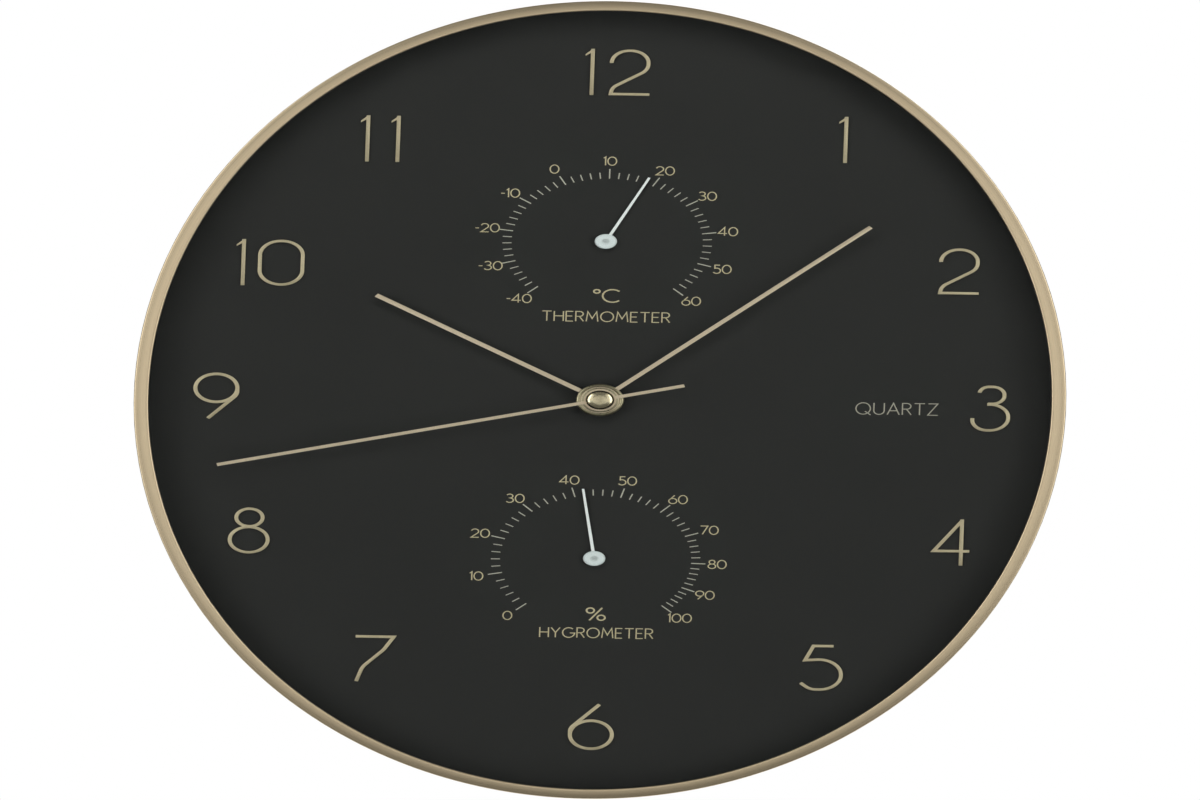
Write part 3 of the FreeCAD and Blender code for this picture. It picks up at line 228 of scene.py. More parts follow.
def brushed_round(name, colour, rough, painted_shade_by=None):
    """Satin metal brushed round the oval case, with painted shade across it by a mesh measure if one is
    named.
    """
    material, nodes, links, shader = new_material(name)
    share, depth = around_oval(nodes, links)
    lines = nodes.new("ShaderNodeCombineXYZ")
    links.new(share, lines.inputs["X"])
    links.new(depth, lines.inputs["Y"])
    mapping = nodes.new("ShaderNodeMapping")
    mapping.inputs["Scale"].default_value = BRUSH_SCALE
    links.new(lines.outputs["Vector"], mapping.inputs["Vector"])
    brush = noise(nodes, links, mapping.outputs["Vector"], 1.0, detail=4.0, roughness=0.7)
    stops = [(0.25, shade(colour, 0.92)), (0.75, shade(colour, 1.08))]
    brushed = ramp(nodes, links, brush, stops)
    # Painted shade: the colour is dimmed towards the band's outer edge and again at its inner edge, by
    # the inset measure
    if painted_shade_by:
        inset = nodes.new("ShaderNodeAttribute")
        inset.attribute_name = painted_shade_by
        painted_shade = ramp(nodes, links, inset.outputs["Fac"],
                    [(position, (level, level, level)) for position, level in PAINTED_SHADE_STOPS])
        product = nodes.new("ShaderNodeMix")
        product.data_type = "RGBA"
        product.blend_type = "MULTIPLY"
        product.inputs["Factor"].default_value = 1.0
        links.new(brushed, product.inputs["A"])
        links.new(painted_shade, product.inputs["B"])
        brushed = product.outputs["Result"]
    links.new(brushed, shader.inputs["Base Color"])
    links.new(spread(nodes, links, brush, rough * 0.85, rough * 1.2), shader.inputs["Roughness"])
    bump(nodes, links, shader, brush, 0.012 * MM, strength=0.6)
    shader.inputs["Metallic"].default_value = 1.0
    return material


def dimpled(name, colour, rough, centre, inner, outer):
    """Pale satin cap with painted shade that darkens it into the dimple at its centre."""
    material, nodes, links, shader = new_material(name)
    source = nodes.new("ShaderNodeTexCoord")
    reach = nodes.new("ShaderNodeVectorMath")
    reach.operation = "DISTANCE"
    reach.inputs[1].default_value = (centre.x, centre.y, centre.z)
    links.new(source.outputs["Object"], reach.inputs[0])
    share = nodes.new("ShaderNodeMapRange")
    share.inputs["From Min"].default_value = inner
    share.inputs["From Max"].default_value = outer
    links.new(reach.outputs["Value"], share.inputs["Value"])
    # Painted shade of the dimple: darkest at the middle, fading to the cap's own colour
    stops = [(0.0, shade(colour, 0.5)), (0.35, shade(colour, 0.82)), (0.7, colour)]
    links.new(ramp(nodes, links, share.outputs["Result"], stops), shader.inputs["Base Color"])
    fine = noise(nodes, links, place_node(nodes, links, EVEN), 1500.0)
    links.new(spread(nodes, links, fine, rough * 0.9, rough * 1.1), shader.inputs["Roughness"])
    bump(nodes, links, shader, fine, 0.004 * MM)
    return material


def clear_pane(name):
    """Thin clear glass that lets the lamps through, with a faint gloss."""
    material, nodes, links, shader = new_material(name)
    nodes.remove(shader)
    through = nodes.new("ShaderNodeBsdfTransparent")
    through.inputs["Color"].default_value = (0.965, 0.975, 0.97, 1)
    gloss = nodes.new("ShaderNodeBsdfGlossy")
    gloss.inputs["Roughness"].default_value = 0.02
    fresnel = nodes.new("ShaderNodeFresnel")
    fresnel.inputs["IOR"].default_value = 1.22
    mix = nodes.new("ShaderNodeMixShader")
    links.new(fresnel.outputs["Fac"], mix.inputs["Fac"])
    links.new(through.outputs["BSDF"], mix.inputs[1])
    links.new(gloss.outputs["BSDF"], mix.inputs[2])
    links.new(mix.outputs["Shader"], nodes["Material Output"].inputs["Surface"])
    return material


def banded(name, colour, dark, rough, metal, pitch, axis_scale, depth):
    """Material with even bands, as wound wire or rolled laminations show."""
    material, nodes, links, shader = new_material(name)
    vector = place_node(nodes, links, axis_scale)
    wave = nodes.new("ShaderNodeTexWave")
    wave.bands_direction = "X"
    wave.inputs["Scale"].default_value = 1 / (math.pi * pitch)
    wave.inputs["Distortion"].default_value = 0.4
    wave.inputs["Detail Scale"].default_value = 2.0
    links.new(vector, wave.inputs["Vector"])
    bands = ramp(nodes, links, wave.outputs["Fac"], [(0.1, dark), (0.7, colour)])
    links.new(bands, shader.inputs["Base Color"])
    bump(nodes, links, shader, wave.outputs["Fac"], depth)
    shader.inputs["Metallic"].default_value = metal
    shader.inputs["Roughness"].default_value = rough
    return material


def wrapped_cell(name, low_x, high_x):
    """Cell: a plain satin wrap with a band near one end, and bare metal at both ends."""
    material, nodes, links, shader = new_material(name)
    source = nodes.new("ShaderNodeTexCoord")
    split = nodes.new("ShaderNodeSeparateXYZ")
    links.new(source.outputs["Object"], split.inputs["Vector"])
    along = nodes.new("ShaderNodeMapRange")
    along.inputs["From Min"].default_value = low_x
    along.inputs["From Max"].default_value = high_x
    links.new(split.outputs["X"], along.inputs["Value"])
    wrap, band, bare = (0.055, 0.06, 0.07), (0.42, 0.27, 0.12), (0.62, 0.62, 0.62)
    wrap_metal, band_metal, bare_metal = (0.1, 0.1, 0.1), (0.6, 0.6, 0.6), (1, 1, 1)
    wrap_from, band_from, bare_from = 0.012, 0.70, 0.955
    colour = ramp(nodes, links, along.outputs["Result"],
                  [(0, bare), (wrap_from, wrap), (band_from, band), (bare_from, bare)])
    metal = ramp(nodes, links, along.outputs["Result"],
                 [(0, bare_metal), (wrap_from, wrap_metal), (band_from, band_metal),
                  (bare_from, bare_metal)])
    for node in nodes:
        if node.type == "VALTORGB":
            node.color_ramp.interpolation = "CONSTANT"
    links.new(colour, shader.inputs["Base Color"])
    links.new(metal, shader.inputs["Metallic"])
    fine = noise(nodes, links, place_node(nodes, links, EVEN), 700.0)
    links.new(spread(nodes, links, fine, 0.28, 0.4), shader.inputs["Roughness"])
    bump(nodes, links, shader, fine, 0.01 * MM)
    return material


case_gold = brushed_round("satin_gold_case", (0.64, 0.52, 0.33), 0.4)
# The front ring carries painted shade across its band, darker at its outer and inner edges
ring_gold = brushed_round("satin_gold_ring", (0.84, 0.685, 0.45), 0.3, painted_shade_by="inset")
hand_gold = grained("satin_gold_hands", (0.76, 0.63, 0.46), 0.48, metal=0.75, grain=1500, vary=0.08,
                    depth=0.006 * MM)
hub_gold = grained("polished_gold_hub", (0.78, 0.67, 0.45), 0.2, metal=1.0, grain=1500, vary=0.06,
                   depth=0.004 * MM)
collar_gold = grained("satin_gold_collar", (0.42, 0.37, 0.24), 0.3, metal=1.0, grain=1500, vary=0.08,
                      depth=0.006 * MM)
numeral_gold = grained("satin_gold_numerals", (0.70, 0.60, 0.40), 0.5, metal=0.8, grain=1800, vary=0.07,
                       depth=0.006 * MM)


def ink(name, colour):
    """Dull printing ink."""
    return grained(name, colour, 0.6, grain=2500, depth=0.003 * MM, specular=0.3)


print_gold = ink("print_gold", (0.54, 0.47, 0.29))
print_white = ink("print_pale", (0.46, 0.45, 0.37))
print_dim = ink("print_dim", (0.37, 0.35, 0.28))
dial_black = grained("dial_charcoal", (0.0265, 0.0265, 0.025), 0.72, grain=1300, vary=0.07,
                     depth=0.008 * MM, specular=0.12)
spacer_black = grained("spacer_black", (0.012, 0.012, 0.012), 0.8, grain=1200, vary=0.2, depth=0.01 * MM,
                       specular=0.2)
pane = clear_pane("clear_glass")
chassis_black = grained("moulded_black", (0.03, 0.03, 0.032), 0.55, grain=1400, vary=0.25,
                        depth=0.05 * MM, specular=0.45)
movement_black = grained("moulded_movement", (0.024, 0.024, 0.026), 0.42, grain=1900, vary=0.2,
                         depth=0.03 * MM)
knob_black = grained("moulded_knob", (0.05, 0.05, 0.052), 0.38, grain=1900, vary=0.15)
natural_plastic = grained("moulded_natural", (0.62, 0.60, 0.52), 0.5, vary=0.06)
wheel_plastic = grained("moulded_wheels", (0.70, 0.66, 0.52), 0.42, vary=0.05, depth=0.01 * MM)
zinc_steel = grained("zinc_plate", (0.60, 0.61, 0.62), 0.34, metal=1.0, grain=420, vary=0.13,
                     depth=0.012 * MM)
staff_steel = grained("turned_steel", (0.62, 0.62, 0.63), 0.22, metal=1.0, grain=3200,
                      stretch=(0.1, 1, 0.1), vary=0.06, depth=0.004 * MM)
stator_steel = banded("laminated_steel", (0.32, 0.32, 0.33), (0.16, 0.16, 0.17), 0.38, 1.0,
                      pitch=0.5 * MM, axis_scale=(0, 1, 0), depth=0.03 * MM)
brass = grained("turned_brass", (0.78, 0.58, 0.25), 0.26, metal=1.0, grain=2600, stretch=(0.1, 1, 0.1),
                vary=0.07, depth=0.005 * MM)
rubber = grained("rubber", (0.022, 0.022, 0.022), 0.85, grain=1100, vary=0.25, depth=0.05 * MM,
                 specular=0.3)
magnet_grey = grained("sintered_magnet", (0.07, 0.07, 0.075), 0.5, metal=0.35, grain=2400, vary=0.25)
copper_wire = banded("copper_wire", (0.75, 0.30, 0.12), (0.30, 0.09, 0.03), 0.3, 0.9,
                     pitch=0.12 * MM, axis_scale=(1, 0, 0), depth=0.05 * MM)
resin_black = grained("resin_drop", (0.012, 0.012, 0.013), 0.18, grain=500, vary=0.2)
board_green = grained("solder_mask", (0.03, 0.14, 0.05), 0.3, grain=650, stretch=(1, 0.2, 3), vary=0.35,
                      depth=0.03 * MM)
pointer_white = grained("pointer_white", (0.80, 0.83, 0.81), 0.5, grain=2000, vary=0.04,
                        depth=0.004 * MM, specular=0.4)
coil_metal = grained("rolled_strip", (0.66, 0.52, 0.33), 0.33, metal=1.0, stretch=(1, 0.15, 1),
                     depth=0.01 * MM)
cell_low, cell_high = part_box("battery")
cell_wrap = wrapped_cell("wrapped_cell", cell_low.x, cell_high.x)

INSTRUMENTS = ("thermometer", "hygrometer")
CAP_COLOUR = (0.68, 0.74, 0.73)
# The painted dimple shade starts at the first radius and fades out towards the second
CAP_DIMPLE, CAP_RADIUS = 0.3 * MM, 2.3 * MM


def cap_look(instrument):
    """Pale look of an instrument's cap, with painted shade at the middle of the cap's front."""
    front = middle(instrument + "_cap")
    front.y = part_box(instrument + "_cap")[0].y
    return dimpled(instrument + "_cap_look", CAP_COLOUR, 0.34, front, CAP_DIMPLE, CAP_RADIUS)


looks = {
    "case_gold": case_gold, "hand_gold": hand_gold, "numeral_gold": numeral_gold, "clear": pane,
    "spacer_black": spacer_black, "dial_black": dial_black, "chassis_black": chassis_black,
    "movement_black": movement_black, "inner_plastic": natural_plastic, "wheel_plastic": wheel_plastic,
    "zinc_steel": zinc_steel, "dark_steel": stator_steel, "brass": brass, "rubber": rubber,
    "magnet": magnet_grey, "winding_copper": copper_wire, "board_green": board_green,
    "resin_black": resin_black, "cell_wrap": cell_wrap, "pointer_white": pointer_white,
    "coil_metal": coil_metal,
}
slot_of = {part["node"]: part["material_slot"] for part in frame["record"]["subparts"]}
own_looks = {"setting_knob": knob_black}
for instrument in INSTRUMENTS:
    own_looks[instrument + "_staff"] = staff_steel
    own_looks[instrument + "_cap"] = cap_look(instrument)


def paint(obj, material):
    """Give an object one material in place of what it has."""
    obj.data.materials.clear()
    obj.data.materials.append(material)


for node, obj in frame["nodes"].items():
    paint(obj, own_looks[node] if node in own_looks else looks[slot_of[node]])


# Mesh helpers

def add_piece(name, mesh, body, material, stands_for=()):
    """Object from a mesh in place, that rides on a body and may stand for CAD nodes."""
    obj = bpy.data.objects.new(name, mesh)
    SCENE.collection.objects.link(obj)
    paint(obj, material)
    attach(obj, body)
    if stands_for:
        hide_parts(*stands_for)


def soften(mesh, angle):
    """Smooth shading with sharp edges kept above an angle in degrees."""
    for face in mesh.polygons:
        face.use_smooth = True
    mesh.set_sharp_from_angle(angle=math.radians(angle))


# Corners sharper than this are rounded, and facets flatter than this are joined
SHARP_ANGLE, FLAT_ANGLE = 28.0, 1.0
# Edges sharper than these stay sharp in the shading
EDGED_SMOOTH, TURNED_SMOOTH, RING_SMOOTH = 40.0, 36.0, 38.0
WELD_DISTANCE, CUT_DISTANCE = 0.002 * MM, 1e-7


def edged(node, material, width, segments=3, front=None):
    """A CAD node's own shape with rounded edges, cut back to a front plane if one is given."""
    source = frame["nodes"][node]
    shape = bmesh.new()
    shape.from_mesh(source.data)
    if front is not None:
        cut = bmesh.ops.bisect_plane(shape, geom=shape.verts[:] + shape.edges[:] + shape.faces[:],
                                     dist=CUT_DISTANCE, plane_co=(0, front, 0), plane_no=(0, -1, 0),
                                     clear_outer=True)
        rim = [item for item in cut["geom_cut"] if isinstance(item, bmesh.types.BMEdge)]
        bmesh.ops.holes_fill(shape, edges=rim)
    bmesh.ops.remove_doubles(shape, verts=shape.verts, dist=WELD_DISTANCE)
    bmesh.ops.dissolve_limit(shape, angle_limit=math.radians(FLAT_ANGLE), verts=shape.verts,
                             edges=shape.edges)
    edges = [edge for edge in shape.edges
             if len(edge.link_faces) == 2 and edge.calc_face_angle(0) > math.radians(SHARP_ANGLE)]
    bmesh.ops.bevel(shape, geom=edges, offset=width, segments=segments, profile=0.5, affect="EDGES",
                    clamp_overlap=True)
    bmesh.ops.recalc_face_normals(shape, faces=shape.faces)
    mesh = bpy.data.meshes.new(node + "_edged")
    shape.to_mesh(mesh)
    shape.free()
    soften(mesh, EDGED_SMOOTH)
    add_piece(node + "_edged", mesh, source["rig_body"], material, (node,))


TURNED_STEPS = 72


def turned_piece(name, centre, profile, body, material):
    """Round piece turned about the Y axis through a centre, from a profile of (radius, y) points."""
    shape = bmesh.new()
    turns = [2 * math.pi * index / TURNED_STEPS for index in range(TURNED_STEPS)]
    rings = []
    for radius, y in profile:
        if radius == 0:
            rings.append([shape.verts.new((centre.x, y, centre.z))] * TURNED_STEPS)
            continue
        rings.append([shape.verts.new((centre.x + radius * math.cos(turn), y,
                                       centre.z + radius * math.sin(turn))) for turn in turns])
    for one, two in zip(rings, rings[1:]):
        for index in range(TURNED_STEPS):
            after = (index + 1) % TURNED_STEPS
            corners = []
            for corner in (one[index], one[after], two[after], two[index]):
                if corner not in corners:
                    corners.append(corner)
            shape.faces.new(corners)
    bmesh.ops.recalc_face_normals(shape, faces=shape.faces)
    mesh = bpy.data.meshes.new(name)
    shape.to_mesh(mesh)
    shape.free()
    soften(mesh, TURNED_SMOOTH)
    add_piece(name, mesh, body, material)


ROUNDED_STEPS = 10


def rounded_edge(radius, inward, back, front_y, sweep=90.0):
    """Profile points of an edge rounded through the sweep, from its flat front out to its side."""
    last = math.radians(sweep)
    points = []
    for index in range(ROUNDED_STEPS + 1):
        turn = last * index / ROUNDED_STEPS
        points.append((radius - inward * (1 - math.sin(turn) / math.sin(last)),
                       front_y + back * (1 - math.cos(turn)) / (1 - math.cos(last))))
    return points


# A sharp corner's mitre is held back at this share of the strip's half width
MITRE_LIMIT = 0.35
SAME_POINT = 1e-9


def strip_mesh(paths, width, front_y, depth):
    """Raised flat strips along paths of (x, z) points. A path that ends where it starts is closed."""
    shape = bmesh.new()
    for path in paths:
        points = [Vector(point) for point in path]
        closed = (points[0] - points[-1]).length < SAME_POINT
        if closed:
            points = points[:-1]
        count = len(points)
        rings = []
        for index, point in enumerate(points):
            before = points[index - 1] if closed or index else None
            after = points[(index + 1) % count] if closed or index < count - 1 else None
            into = (point - before).normalized() if before else (after - point).normalized()
            away = (after - point).normalized() if after else into
            normal = Vector((-into.y - away.y, into.x + away.x))
            normal.normalize()
            reach = width / 2 / max(MITRE_LIMIT, normal.dot(Vector((-into.y, into.x))))
            sides = (point + normal * reach, point - normal * reach)
            rings.append([shape.verts.new((side.x, y, side.y)) for side in sides
                          for y in (front_y, front_y + depth)])
        for index in range(count if closed else count - 1):
            one, two = rings[index], rings[(index + 1) % count]
            for a, b in ((0, 2), (2, 3), (3, 1), (1, 0)):
                shape.faces.new((one[a], one[b], two[b], two[a]))
        if not closed:
            for end in (rings[0], rings[-1]):
                shape.faces.new((end[0], end[2], end[3], end[1]))
    bmesh.ops.recalc_face_normals(shape, faces=shape.faces)
    return shape


def arc(x, z, half_width, half_height, start, finish, steps=14):
    """Points of an oval arc between two angles in degrees, anticlockwise."""
    points = []
    for index in range(steps + 1):
        turn = math.radians(start + (finish - start) * index / steps)
        points.append((x + half_width * math.cos(turn), z + half_height * math.sin(turn)))
    return points


def ring(x, z, half_width, half_height, steps=28):
    """Points of a whole oval, closed exactly."""
    return arc(x, z, half_width, half_height, 0, 360, steps)[:-1] + [(x + half_width, z)]


# Lettering: each sign is its width and its strokes, as shares of the letter's height
signs = {
    "0": (0.70, [ring(0.35, 0.5, 0.35, 0.5)]),
    "1": (0.20, [[(0.0, 0.84), (0.16, 1.0), (0.16, 0.0)]]),
    "2": (0.64, [arc(0.32, 0.71, 0.29, 0.29, 165, -35) + [(0.02, 0.0), (0.64, 0.0)]]),
    "3": (0.60, [arc(0.28, 0.77, 0.25, 0.23, 150, -90) + arc(0.28, 0.27, 0.30, 0.27, 90, -150)[1:]]),
    "4": (0.70, [[(0.50, 0.0), (0.50, 1.0), (0.0, 0.27), (0.70, 0.27)]]),
    "5": (0.60, [[(0.54, 1.0), (0.14, 1.0)] + arc(0.28, 0.32, 0.31, 0.32, 118, -150)]),
    "6": (0.64, [ring(0.32, 0.31, 0.32, 0.31), [(0.46, 1.0), (0.06, 0.47)]]),
    "7": (0.58, [[(0.0, 1.0), (0.58, 1.0), (0.16, 0.0)]]),
    "8": (0.60, [ring(0.30, 0.27, 0.30, 0.27), ring(0.30, 0.77, 0.23, 0.23)]),
    "9": (0.64, [ring(0.32, 0.69, 0.32, 0.31), [(0.18, 0.0), (0.58, 0.53)]]),
    "-": (0.30, [[(0.0, 0.46), (0.30, 0.46)]]),
    "T": (0.66, [[(0.0, 1.0), (0.66, 1.0)], [(0.33, 1.0), (0.33, 0.0)]]),
    "H": (0.66, [[(0.0, 0.0), (0.0, 1.0)], [(0.66, 0.0), (0.66, 1.0)], [(0.0, 0.52), (0.66, 0.52)]]),
    "E": (0.50, [[(0.50, 1.0), (0.0, 1.0), (0.0, 0.0), (0.50, 0.0)], [(0.0, 0.52), (0.44, 0.52)]]),
    "R": (0.56, [[(0.0, 0.0), (0.0, 1.0)] + arc(0.27, 0.75, 0.26, 0.25, 90, -90) + [(0.0, 0.5)],
                 [(0.26, 0.5), (0.56, 0.0)]]),
    "M": (0.84, [[(0.0, 0.0), (0.1, 1.0), (0.42, 0.3), (0.74, 1.0), (0.84, 0.0)]]),
    "O": (0.92, [ring(0.46, 0.5, 0.46, 0.5)]),
    "Y": (0.66, [[(0.0, 1.0), (0.33, 0.48), (0.66, 1.0)], [(0.33, 0.48), (0.33, 0.0)]]),
    "G": (0.90, [arc(0.47, 0.5, 0.46, 0.5, 48, 345) + [(0.93, 0.46), (0.56, 0.46)]]),
    "Q": (0.94, [ring(0.46, 0.5, 0.46, 0.5), [(0.58, 0.26), (0.94, -0.06)]]),
    "U": (0.66, [[(0.0, 1.0)] + arc(0.33, 0.33, 0.33, 0.33, 180, 360) + [(0.66, 1.0)]]),
    "A": (0.76, [[(0.0, 0.0), (0.38, 1.0), (0.76, 0.0)], [(0.13, 0.34), (0.63, 0.34)]]),
    "Z": (0.64, [[(0.02, 1.0), (0.62, 1.0), (0.0, 0.0), (0.64, 0.0)]]),
    "C": (0.90, [arc(0.5, 0.5, 0.52, 0.5, 46, 314)]),
    "%": (1.02, [ring(0.22, 0.78, 0.2, 0.2), ring(0.80, 0.22, 0.2, 0.2), [(0.84, 1.0), (0.18, 0.0)]]),
    "o": (0.34, [ring(0.17, 0.84, 0.16, 0.14, 16)]),
}

# The print stands this far out of the dial and reaches this deep behind its own front
PRINT_RISE, PRINT_DEPTH = 0.04 * MM, 0.06 * MM


def lettering(text, centre, height, gap, width=None):
    """Strokes of a line of signs, centred on a point, made to fit a width if one is given."""
    paths, start = [], 0.0
    for sign in text:
        share, strokes = signs[sign]
        paths += [[(start + x, z) for x, z in stroke] for stroke in strokes]
        start += share + gap
    total = start - gap
    squeeze = width / (total * height) if width else 1.0
    return [[(centre.x + (x - total / 2) * height * squeeze, centre.z + (z - 0.5) * height)
             for x, z in path] for path in paths]


def printed(name, paths, width, material):
    """Strokes printed on the dial."""
    shape = strip_mesh(paths, width, DIAL_Y - PRINT_RISE, PRINT_DEPTH)
    mesh = bpy.data.meshes.new(name)
    shape.to_mesh(mesh)
    shape.free()
    add_piece(name, mesh, "case", material)


def around(centre, angle, distance):
    """Point at an angle from a centre, clockwise from the top."""
    turn = math.radians(angle)
    return Vector((centre.x + distance * math.sin(turn), DIAL_Y, centre.z + distance * math.cos(turn)))


# The two sub-dials: scales, numbers, units and names, printed slightly beside the pointers' centres
TICK_COUNT = 50
TICK_IN, TICK_MINOR, TICK_MAJOR = 30.8 * MM, 33.7 * MM, 35.4 * MM
TICK_WIDTH, TICK_MAJOR_WIDTH = 0.38 * MM, 0.418 * MM
LABEL_REACH, LABEL_HEIGHT, LABEL_STROKE, LABEL_GAP = 39.2 * MM, 4.0 * MM, 0.4 * MM, 0.14
UNIT_HEIGHT, UNIT_STROKE = 6.1 * MM, 0.58 * MM
WORD_HEIGHT, WORD_STROKE, WORD_GAP = 4.7 * MM, 0.41 * MM, 0.2
PRINT_SHIFT = Vector((0.45 * MM, 0, -0.4 * MM))
SWEEP = 270.0
# The humidity scale is wider at its dry end: its tens stand at these angles
HUMIDITY_TENS = (-135.0, -103.2, -72.6, -42.7, -13.8, 13.8, 41.2, 67.6, 92.2, 114.8, 135.0)


def thermometer_angle(share):
    """Angle on the temperature scale, which is even."""
    return SWEEP * (share - 0.5)


def hygrometer_angle(share):
    """Angle on the humidity scale, evenly divided between its tens."""
    last = len(HUMIDITY_TENS) - 1
    place = share * last
    low = min(int(place), last - 1)
    return HUMIDITY_TENS[low] + (HUMIDITY_TENS[low + 1] - HUMIDITY_TENS[low]) * (place - low)


def sub_dial(name, labels, angle_at, unit, unit_place, unit_gap, title, title_place, title_width):
    """Marks and numbers round an instrument's cap, with its unit and its name below the cap."""
    centre = middle(name + "_cap") + PRINT_SHIFT
    per_label = TICK_COUNT // (len(labels) - 1)
    ticks = {True: [], False: []}
    for index in range(TICK_COUNT + 1):
        angle = angle_at(index / TICK_COUNT)
        major = index % per_label == 0
        reach = TICK_MAJOR if major else TICK_MINOR
        ends = [around(centre, angle, distance) for distance in (TICK_IN, reach)]
        ticks[major].append([(end.x, end.z) for end in ends])
    printed(name + "_minor_marks", ticks[False], TICK_WIDTH, print_white)
    printed(name + "_major_marks", ticks[True], TICK_MAJOR_WIDTH, print_white)
    paths = []
    for index, label in enumerate(labels):
        place = around(centre, angle_at(index / (len(labels) - 1)), LABEL_REACH)
        paths += lettering(label, place, LABEL_HEIGHT, LABEL_GAP)
    printed(name + "_numbers", paths, LABEL_STROKE, print_gold)
    unit_at = centre + Vector((unit_place[0], 0, -unit_place[1]))
    printed(name + "_unit", lettering(unit, unit_at, UNIT_HEIGHT, unit_gap), UNIT_STROKE, print_gold)
    title_at = centre + Vector((title_place[0], 0, -title_place[1]))
    printed(name + "_name", lettering(title, title_at, WORD_HEIGHT, WORD_GAP, title_width), WORD_STROKE,
            print_gold)


sub_dial("thermometer", [str(value) for value in range(-40, 61, 10)], thermometer_angle,
         unit="oC", unit_place=(0.5 * MM, 25.8 * MM), unit_gap=0.16,
         title="THERMOMETER", title_place=(0.5 * MM, 35.9 * MM), title_width=41.0 * MM)
sub_dial("hygrometer", [str(value) for value in range(0, 101, 10)], hygrometer_angle,
         unit="%", unit_place=(0.7 * MM, 26.4 * MM), unit_gap=0.1,
         title="HYGROMETER", title_place=(1.1 * MM, 35.5 * MM), title_width=36.4 * MM)

QUARTZ_RIGHT, QUARTZ_DROP, QUARTZ_WIDTH = 95.6 * MM, 2.0 * MM, 26.4 * MM
QUARTZ_HEIGHT, QUARTZ_STROKE = 5.5 * MM, 0.4 * MM
quartz_at = CENTRE + Vector((QUARTZ_RIGHT, 0, -QUARTZ_DROP))
printed("quartz_word", lettering("QUARTZ", quartz_at, QUARTZ_HEIGHT, WORD_GAP, QUARTZ_WIDTH),
        QUARTZ_STROKE, print_dim)

# Pieces with softened edges
HOURS = range(1, 13)
NUMERAL_EDGE, HAND_EDGE, SECOND_EDGE, POINTER_EDGE, CAP_EDGE = (
    0.12 * MM, 0.14 * MM, 0.1 * MM, 0.06 * MM, 0.12 * MM)
minute_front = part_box("minute_hand")[0].y
second_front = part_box("second_hand")[0].y
# The second hand's own boss is cut back to its bar, and the dome takes the boss's place
BAR_FRONT = second_front + 1.9 * MM

for hour in HOURS:
    edged("numeral_" + str(hour), numeral_gold, NUMERAL_EDGE, segments=2)
edged("hour_hand", hand_gold, HAND_EDGE)
edged("minute_hand", hand_gold, HAND_EDGE)
edged("second_hand", hand_gold, SECOND_EDGE, front=BAR_FRONT)

# Hub: a grooved collar with a rounded edge on the minute hand, and a dome on the second hand.
# The groove is a row of (radius, distance behind the hand's front).
COLLAR_RADIUS, COLLAR_ROUND, COLLAR_FALL = 7.76 * MM, 0.85 * MM, 0.6 * MM
COLLAR_RISE, COLLAR_REAR = 0.22 * MM, 0.5 * MM
COLLAR_GROOVE = [(5.0 * MM, -0.02 * MM), (5.9 * MM, -0.05 * MM), (6.15 * MM, 0.1 * MM),
                 (6.4 * MM, -0.1 * MM)]
DOME_RADIUS, DOME_ROUND, DOME_FALL, DOME_SWEEP = 4.6 * MM, 2.7 * MM, 1.0 * MM, 70.0
DOME_FLAT, DOME_DISH = 1.2 * MM, 0.02 * MM
DOME_SHOULDER = 0.05 * MM

collar_profile = [(radius, minute_front + back) for radius, back in COLLAR_GROOVE]
collar_profile += rounded_edge(COLLAR_RADIUS, COLLAR_ROUND, COLLAR_FALL, minute_front - COLLAR_RISE)
collar_profile += [(COLLAR_RADIUS, minute_front + COLLAR_REAR)]
turned_piece("hub_collar", CENTRE, collar_profile, "minute_hand", collar_gold)

dome_profile = [(0.0, second_front), (DOME_FLAT, second_front + DOME_DISH)]
dome_profile += rounded_edge(DOME_RADIUS, DOME_ROUND, DOME_FALL, second_front + DOME_SHOULDER, DOME_SWEEP)
dome_profile += [(DOME_RADIUS, BAR_FRONT)]
turned_piece("hub_dome", CENTRE, dome_profile, "second_hand", hub_gold)

# Instruments' pointers and caps
for instrument in INSTRUMENTS:
    edged(instrument + "_pointer", pointer_white, POINTER_EDGE)
    edged(instrument + "_cap", own_looks[instrument + "_cap"], CAP_EDGE)


def swept_oval(profile, steps, reach):
    """Ring swept round the oval from a closed profile of (inset, y) points.

    Its mesh keeps each point's inset, as a share of the reach, under the name "inset".
    """
    shape = bmesh.new()
    shares = shape.verts.layers.float.new("inset")
    rings = []
    for index in range(steps):
        turn = 2 * math.pi * index / steps
        rings.append([shape.verts.new((HAND_X + (HALF_WIDTH - inset) * math.cos(turn), y,
                                       HAND_Z + (HALF_HEIGHT - inset) * math.sin(turn)))
                      for inset, y in profile])
        for vertex, (inset, y) in zip(rings[-1], profile):
            vertex[shares] = inset / reach
    count = len(profile)
    for index in range(steps):
        one, two = rings[index], rings[(index + 1) % steps]
        for side in range(count):
            after = (side + 1) % count
            shape.faces.new((one[side], one[after], two[after], two[side]))
    bmesh.ops.recalc_face_normals(shape, faces=shape.faces)
    return shape


# Front ring: its band and inner bevel, its skirt's insets, its outer rounding, its face and its steps
BAND, BEVEL, BEVEL_FALL = 4.8 * MM, 0.45 * MM, 1.2 * MM
SKIRT_OUT, SKIRT_IN = 1.65 * MM, 2.85 * MM
EDGE_RADIUS, EDGE_SWEEP = 0.5 * MM, 84.0
# The face rises by the crown from its outer to its inner edge, in a curve of this power
CROWN, CROWN_POWER = 0.36 * MM, 1.4
EDGE_STEPS, FACE_STEPS, BEVEL_STEPS, ROUND_STEPS = 8, 6, 7, 288


